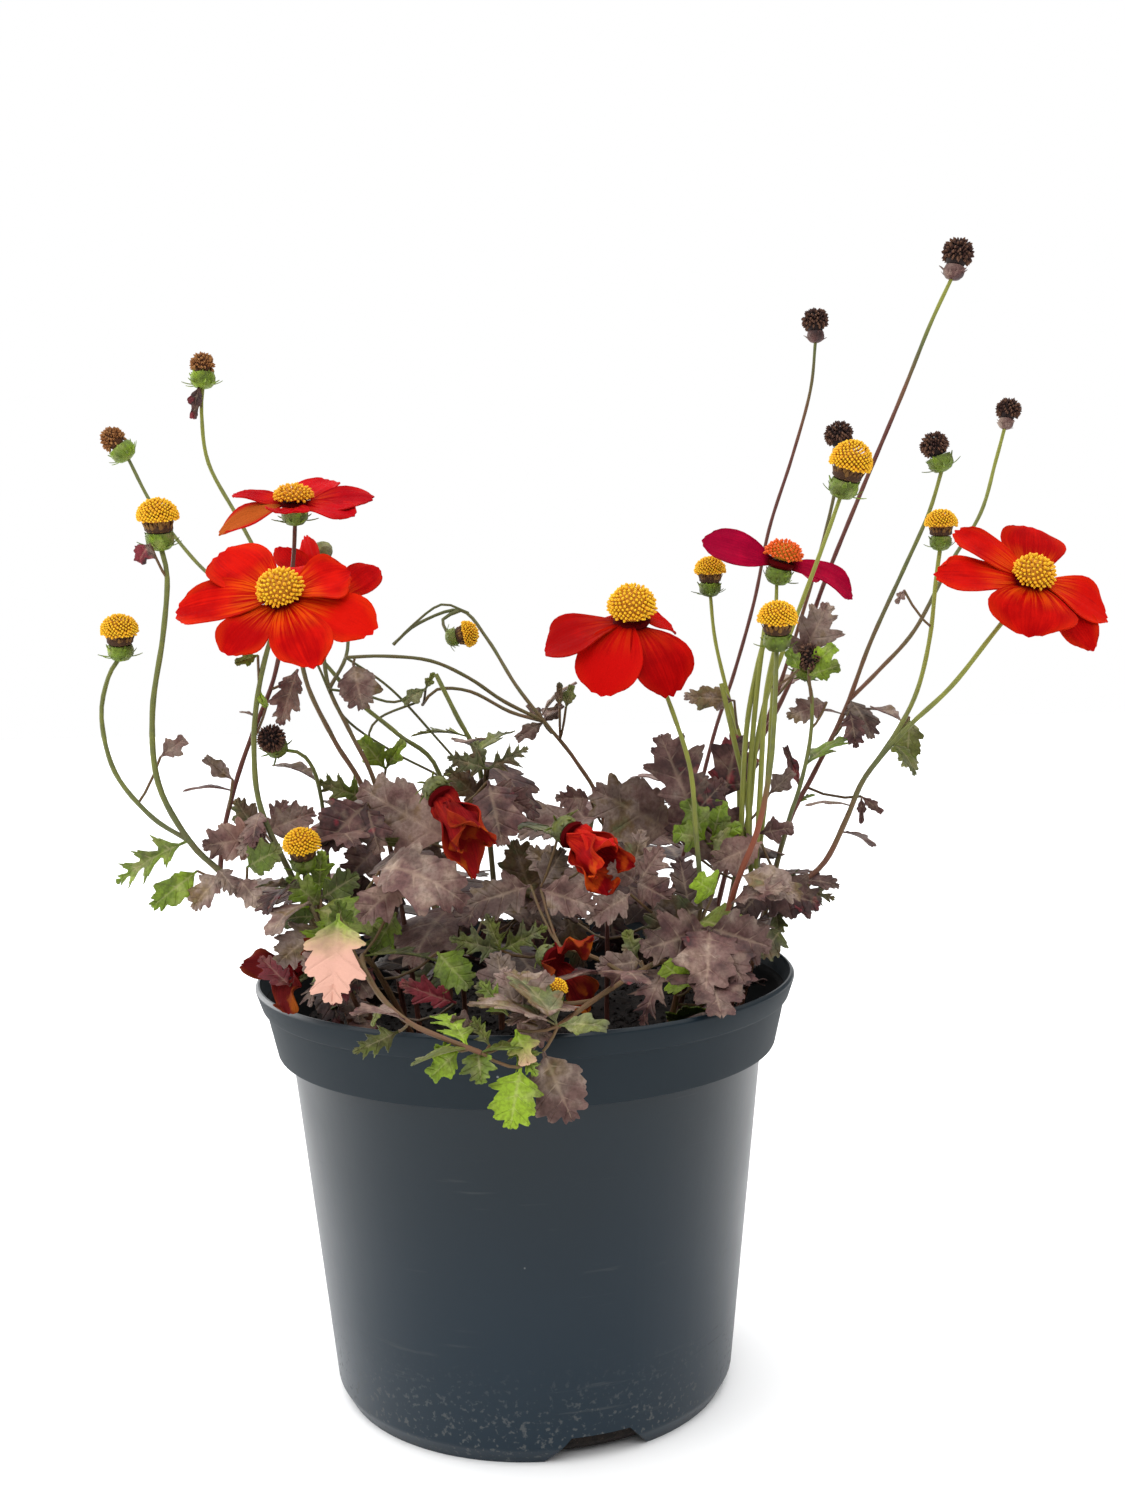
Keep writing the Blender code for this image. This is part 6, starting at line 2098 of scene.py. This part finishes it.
    def cup(self, head: Head, number: int) -> None:
        """Add the green cup under a head: a body, close scales and thin spreading bracts.

        Args:
            head: The head that it carries.
            number: The number of its stalk.
        """
        place = head_place(head)
        size = head.size * head.cup
        young = head.kind is Kind.SEED and head.cup > YOUNG_CUP
        old = head.kind is Kind.SEED and head.cup < OLD_CUP
        top = CUP_RADIUS * size * (1.05 if young else 1.0)
        low = -CUP_HEIGHT * size
        outline = [
            (1.0, low), (top * 0.66, low * 0.90), (top * 0.98, low * 0.62), (top * 1.02, low * 0.30),
            (top * 0.90, 0.0), (0.2, 0.15),
        ]
        tone = 0.17 if old else 0.60 if head.kind is Kind.WITHERED else 0.86 if young else 0.78
        self.draft.add(lathe(outline, 12), place, 1, tone=tone, shade=0.35)
        ragged = 0.35 if old else 0.0
        for piece, count, height, lift, scale, spread in (
            (self.shop.scale, 9, low * 0.84, 76.0 - 60.0 * ragged, 0.86 - ragged, 0.05 + ragged),
            (self.shop.scale, 8, low * 0.62, 86.0 - 60.0 * ragged, 0.66, 0.07 + ragged),
            (self.shop.thread, 8, low * 0.74, 10.0 + 80.0 * ragged, 0.60 - 0.5 * ragged, 0.26),
        ):
            mesh = self.shop.whorl.run(
                Count=count, Radius=top * 0.72 * MM, Height=height * MM, Lift=math.radians(lift),
                Start=0.4 * number + height, Size=scale * size, Wobble=spread, Seed=self.seed + number,
                Piece=piece, Finish=self.shop.finishes.leaf,
            )
            self.draft.absorb(mesh, place, 1, tone=tone + 0.06)

    def undergrowth(self) -> None:
        """Add the small leaves low in the crown, where the draws keep them inside it."""
        draw = self.draw
        route = self.stalks[0].route
        top = [index for index, point in enumerate(route) if point[2] < CROWN_TOP][-1] + 0.6
        for number in range(self.crown):
            at = 0.15 + (top - 0.15) * (number + draw.uniform(0.0, 0.8)) / self.crown
            place = smooth_point(route, min(at, len(route) - 1.01))
            outward = math.degrees(math.atan2(place.y, place.x))
            length = draw.uniform(14.0, 26.0)
            form = draw.choice(("lobed", "lobed", "lobed", "feather", "small"))
            heading = outward + draw.uniform(-95.0, 95.0)
            turn = growing(heading, draw.uniform(-15.0, 50.0), draw.uniform(-45.0, 45.0))
            tip = place + turn.to_3x3() @ Vector((length, 0.0, 0.0))
            tone = draw.uniform(0.08, 0.34) if draw.random() < 0.68 else draw.uniform(0.5, 0.85)
            if abs(tip.x) < self.crown_reach and tip.z < CROWN_TOP - 8.0:
                blade = self.maker.leaf(form, length, draw.uniform(20.0, 70.0))
                self.lay(blade, Matrix.Translation(place) @ turn, tone)

    def build(self) -> None:
        """Build the stem."""
        self.tubes()
        for number, stalk in enumerate(self.stalks):
            if stalk.carries in HEADS:
                self.cup(HEADS[stalk.carries], number)
            if stalk.carries == "bud":
                bud = lathe([(0.8, -3.0), (3.0, -1.2), (3.6, 0.8), (2.6, 2.8), (0.3, 3.6)], 12)
                place = Matrix.Translation(stalk.route[-1]) @ facing(-60.0, -20.0)
                self.draft.add(bud, place, 1, tone=0.50, blush=0.12, shade=0.9)
            for leaf in stalk.leaves:
                tone = self.draw.uniform(0.11, 0.34) + (0.5 if leaf.form == "feather" else 0.0)
                place = Matrix.Translation(smooth_point(stalk.route, leaf.at))
                place = place @ growing(leaf.heading, leaf.rise, leaf.roll)
                blade = self.maker.leaf(leaf.form, leaf.length, leaf.droop)
                self.lay(blade, place, tone if leaf.tone is None else leaf.tone)
        for frond in FRONDS.get(self.name, ()):
            place, length = frond.placing()
            blade = self.maker.leaf(frond.form, length, frond.droop, frond.wide)
            self.lay(blade, place, frond.tone, frond.blush)
        self.undergrowth()
        materials = (self.shop.finishes.stalk, self.shop.finishes.leaf)
        name = self.name.replace("stem_", "leafy_stem_") + "_grown"
        self.draft.finish(name, materials, Slot.FOLIAGE, self.name, 40.0)


@dataclass
class OnCup:
    """A piece that sits on a cup."""

    shop: Workshop
    name: str
    head: Head
    seed: int
    gap: float = 0.3

    def __post_init__(self) -> None:
        """Start the piece at the head's place."""
        self.place, self.draft = head_place(self.head), Draft()

    def core(self, outline: Outline, sides: int, slot: int = 0, **marks: float) -> None:
        """Add a turned core."""
        self.draft.add(lathe(outline, sides), self.place, slot, **marks)

    def dome(
        self, radius: float, height: float, lift: float, finish: bpy.types.Material, blush: float = 0.0,
        **values: object,
    ) -> None:
        """Add a dome of small pieces.

        Args:
            radius: Its radius.
            height: Its height.
            lift: How far above the cup it starts.
            finish: The small pieces' finish.
            blush: How much they are tinted.
            values: The tree's other inputs.
        """
        mesh = self.shop.dome.run(
            Radius=radius * MM, Height=height * MM, Seed=self.seed, Finish=finish, **values
        )
        self.draft.absorb(mesh, self.place @ raised(lift), blush=blush)

    def build(self) -> None:
        """Build the piece, which each kind does in its own way."""
        raise NotImplementedError


@dataclass
class PetalRing(OnCup):
    """A bloom's petals on their hub, fresh or withered."""

    seat: float = 2.8
    layers: tuple[float, float] = (0.5, 1.4)
    rolled: float = 1.0
    hub_radius: float = 4.6
    hub_height: float = 2.0
    wither: float = 0.75

    def build(self) -> None:
        """Build the petals."""
        wide = self.hub_radius * self.head.size
        top = self.gap + self.hub_height
        hub = [(wide * 0.8, self.gap), (wide, self.gap + 1.0), (wide * 0.9, top), (0.2, top + 0.2)]
        self.core(hub, 14, shade=0.5)
        maker, draw = BladeMaker(self.seed), random.Random(self.seed)
        withered = self.head.kind is Kind.WITHERED
        for index, petal in enumerate(PETALS[self.name]):
            shape, uv = maker.petal(petal, self.wither if withered else 0.0)
            layer = self.rolled if petal.roll else self.layers[index % 2]
            seat = Matrix.Translation(Vector((self.seat, 0.0, self.gap + layer)))
            place = self.place @ turned(petal.turn, "Z") @ seat @ turned(-petal.lift, "Y")
            place = place @ turned(petal.roll, "X")
            self.draft.add(shape, place, 0, uv, shade=draw.random(), blush=petal.ochre)
        tint = BLOOM_TINTS[self.name]
        skin = PetalSkin(f"petal_{self.name}", tint, withered).material()
        slot = Slot.DRY if withered else Slot.MAGENTA if tint.magenta else Slot.RED
        node = self.name if withered else f"petals_{self.name}"
        self.draft.finish(f"{node}_ring", (skin, self.shop.finishes.floret), slot, node)


@dataclass
class FloretDisc(OnCup):
    """The dome of florets in the middle of a bloom."""

    start: float = 3.0
    radius: float = 5.9
    count: int = 118

    def build(self) -> None:
        """Build the disc."""
        start, dome, finish = self.start, self.head.dome, self.shop.finishes.floret
        radius = self.radius * self.head.size
        tall = radius * dome
        outline = [
            (radius * 0.55, start), (radius * 0.86, start + tall * 0.14),
            (radius * 0.80, start + tall * 0.36), (radius * 0.52, start + tall * 0.60),
            (0.1, start + tall * 0.72),
        ]
        self.core(outline, 16, shade=0.3)
        self.dome(
            radius * 0.72, tall * 0.40, start + tall * 0.22, finish, BLOOM_TINTS[self.name].magenta,
            Count=int(self.count * (radius / self.radius) ** 2 * (0.6 + 0.4 * dome)), Opening=1.75, Size=0.92,
            Wobble=0.14, Piece=self.shop.floret,
        )
        self.draft.finish(f"disc_{self.name}_florets", (finish,), Slot.YELLOW, f"disc_{self.name}")


@dataclass
class YellowHead(OnCup):
    """A head without petals: a dark band of withered florets under a dome of golden ones."""

    radius: float = 5.9
    count: int = 250
    # The core and the dark band, each by radius and height as shares of the head's radius
    cores: tuple[tuple[tuple[float, float], ...], ...] = (
        ((0.60, 0.54), (0.82, 0.66), (0.84, 0.96), (0.62, 1.28), (0.02, 1.44)),
        ((0.60, 0.05), (0.72, 0.16), (0.70, 0.50), (0.60, 0.62), (0.02, 0.66)),
    )

    def build(self) -> None:
        """Build the head."""
        size = self.radius * self.head.size
        golden, dark = self.shop.finishes.floret, self.shop.finishes.band
        for slot, core in enumerate(self.cores):
            outline = [(radius * size, height * size) for radius, height in core]
            self.core(outline, 16, slot, shade=0.3, rise=0.3 * slot)
        for row, count in ((0.10, 20), (0.28, 22)):
            mesh = self.shop.whorl.run(
                Count=count, Radius=size * 0.66 * MM, Height=size * row * MM, Lift=math.radians(80.0),
                Start=row * 9.0, Size=0.50 * self.head.size, Wobble=0.10, Seed=self.seed,
                Piece=self.shop.scale, Finish=dark,
            )
            self.draft.absorb(mesh, self.place, 1, rise=0.5)
        self.dome(
            size * 0.86, size * 0.60 * self.head.dome, size * 0.80, golden, Piece=self.shop.short,
            Count=int(self.count * self.head.size), Opening=1.72, Size=0.84 * self.head.size**0.5,
            Wobble=0.25,
        )
        self.draft.finish(f"head_{self.name}_florets", (golden, dark), Slot.YELLOW, f"head_{self.name}")


@dataclass
class SeedHead(OnCup):
    """A seed head: dry seeds that stand close together all round."""

    radius: float = 4.8
    count: int = 150

    def build(self) -> None:
        """Build the head."""
        size = self.radius * self.head.size
        young = self.head.cup > YOUNG_CUP
        finish = self.shop.finishes.tuft if young else self.shop.finishes.seed
        wide, tall, opening, lift = (0.52, 0.60, 1.9, 0.55) if young else (0.54, 0.50, 2.2, 0.70)
        outline = [
            (size * 0.45, self.gap), (size * 0.62, size * 0.5), (size * 0.56, size * 0.95), (0.1, size * 1.2),
        ]
        self.core(outline, 10, shade=0.1)
        self.dome(
            size * wide, size * tall, size * lift, finish, Count=int(self.count * self.head.size),
            Opening=opening, Size=0.60 * self.head.size**0.5, Wobble=0.70, Piece=self.shop.achene,
        )
        self.draft.finish(f"seed_{self.name}_grains", (finish,), Slot.SEED, f"seed_{self.name}")


FORMS: dict[Kind, tuple[type[OnCup], ...]] = {
    Kind.BLOOM: (PetalRing, FloretDisc),
    Kind.WITHERED: (PetalRing,),
    Kind.YELLOW: (YellowHead,),
    Kind.SEED: (SeedHead,),
}


@dataclass
class Studio:
    """A plain pale floor, soft light all round, and the camera at the photograph's angle."""

    lens: float = 39.237
    sensor: float = 36.0
    floor_size: float = 6.0
    placing: tuple[tuple[float, float, float, float], ...] = (
        (0.99934654, 0.02528039, -0.02583389, 0.0),
        (-0.02784404, 0.08269202, -0.9961861, -0.5141),
        (-0.02304772, 0.99625445, 0.08334189, 0.2442),
        (0.0, 0.0, 0.0, 1.0),
    )
    aim: Row = (0.0, 0.0, 0.17)
    # Soft square lamps: name, place, size and power
    lamps: tuple[tuple[str, Row, float, float], ...] = (
        ("lamp_left", (-1.1, -0.6, 1.2), 0.8, 4.0),
        ("lamp_rim", (-1.2, 0.9, 0.4), 0.9, 10.0),
        ("lamp_front", (0.1, -1.3, 1.5), 0.9, 5.5),
    )

    def camera(self) -> None:
        """Set the camera."""
        data = bpy.data.cameras.new("camera")
        data.lens = self.lens
        data.sensor_width = self.sensor
        data.clip_start = 0.01
        made = linked("camera", data)
        made.matrix_world = Matrix(self.placing)
        bpy.context.scene.camera = made

    def floor(self) -> None:
        """Lay the floor."""
        half = self.floor_size / 2
        mesh = bpy.data.meshes.new("floor")
        corners = [(-half, -half, 0), (half, -half, 0), (half, half, 0), (-half, half, 0)]
        mesh.from_pydata(corners, [], [(0, 1, 2, 3)])
        skin = Skin("pale_floor", Roughness=0.9, Specular_IOR_Level=0.1)
        skin.feed(skin.shader.inputs["Base Color"], (0.97, 0.97, 0.97))
        mesh.materials.append(skin.material)
        linked("floor", mesh)

    def lamp(self, name: str, place: Row, size: float, power: float) -> None:
        """Hang a lamp that points at the plant.

        Args:
            name: Its name.
            place: Its place, in metres.
            size: Its side.
            power: Its power, in watts.
        """
        data = bpy.data.lights.new(name, "AREA")
        data.shape = "SQUARE"
        data.size = size
        data.energy = power
        made = linked(name, data)
        made.location = place
        made.rotation_mode = "QUATERNION"
        made.rotation_quaternion = (Vector(self.aim) - Vector(place)).to_track_quat("-Z", "Y")

    def sky(self) -> None:
        """Light the scene from all round, and show the camera plain white."""
        world = bpy.data.worlds.new("soft_world")
        bpy.context.scene.world = world
        world.use_nodes = True
        sky = Graph(world.node_tree)
        place = sky.node("ShaderNodeTexCoord").outputs["Generated"]
        behind = sky.node("ShaderNodeVectorMath", {0: place, 1: (-0.75, 0.65, 0.1)}, operation="DOT_PRODUCT")
        shade = sky.mix(sky.band(behind.outputs["Value"], 0.1, 0.95), (0.20, 0.21, 0.22), (1.3, 1.3, 1.3))
        shade = sky.mix(sky.band(sky.split(place)[2], 0.20, 1.0), shade, (2.3, 2.3, 2.3))
        seen = sky.node("ShaderNodeLightPath").outputs["Is Camera Ray"]
        back = world.node_tree.nodes["Background"]
        sky.feed(back.inputs["Color"], sky.mix(seen, shade, (1.0, 1.0, 1.0)))
        back.inputs["Strength"].default_value = 1.0

    def build(self) -> None:
        """Set the whole studio."""
        bpy.context.scene.view_settings.view_transform = "Standard"
        self.camera()
        self.floor()
        self.sky()
        for row in self.lamps:
            self.lamp(*row)


def main() -> None:
    """Build every piece, in order."""
    logging.basicConfig(level=logging.INFO, format="%(name)s %(message)s")
    Studio().build()
    shop = Workshop(Finishes())
    pot = NurseryPot()
    pot.build(shop.finishes.pot)
    PottingSoil(shop, pot).build()
    for seed, (name, stalks) in enumerate(STEMS.items(), 100):
        LeafyStem(shop, name, stalks, seed).build()
    for seed, (name, head) in enumerate(HEADS.items(), 300):
        for form in FORMS[head.kind]:
            form(shop, name, head, seed).build()
    shop.clear()
    bpy.context.view_layer.update()


if __name__ == "__main__":
    main()
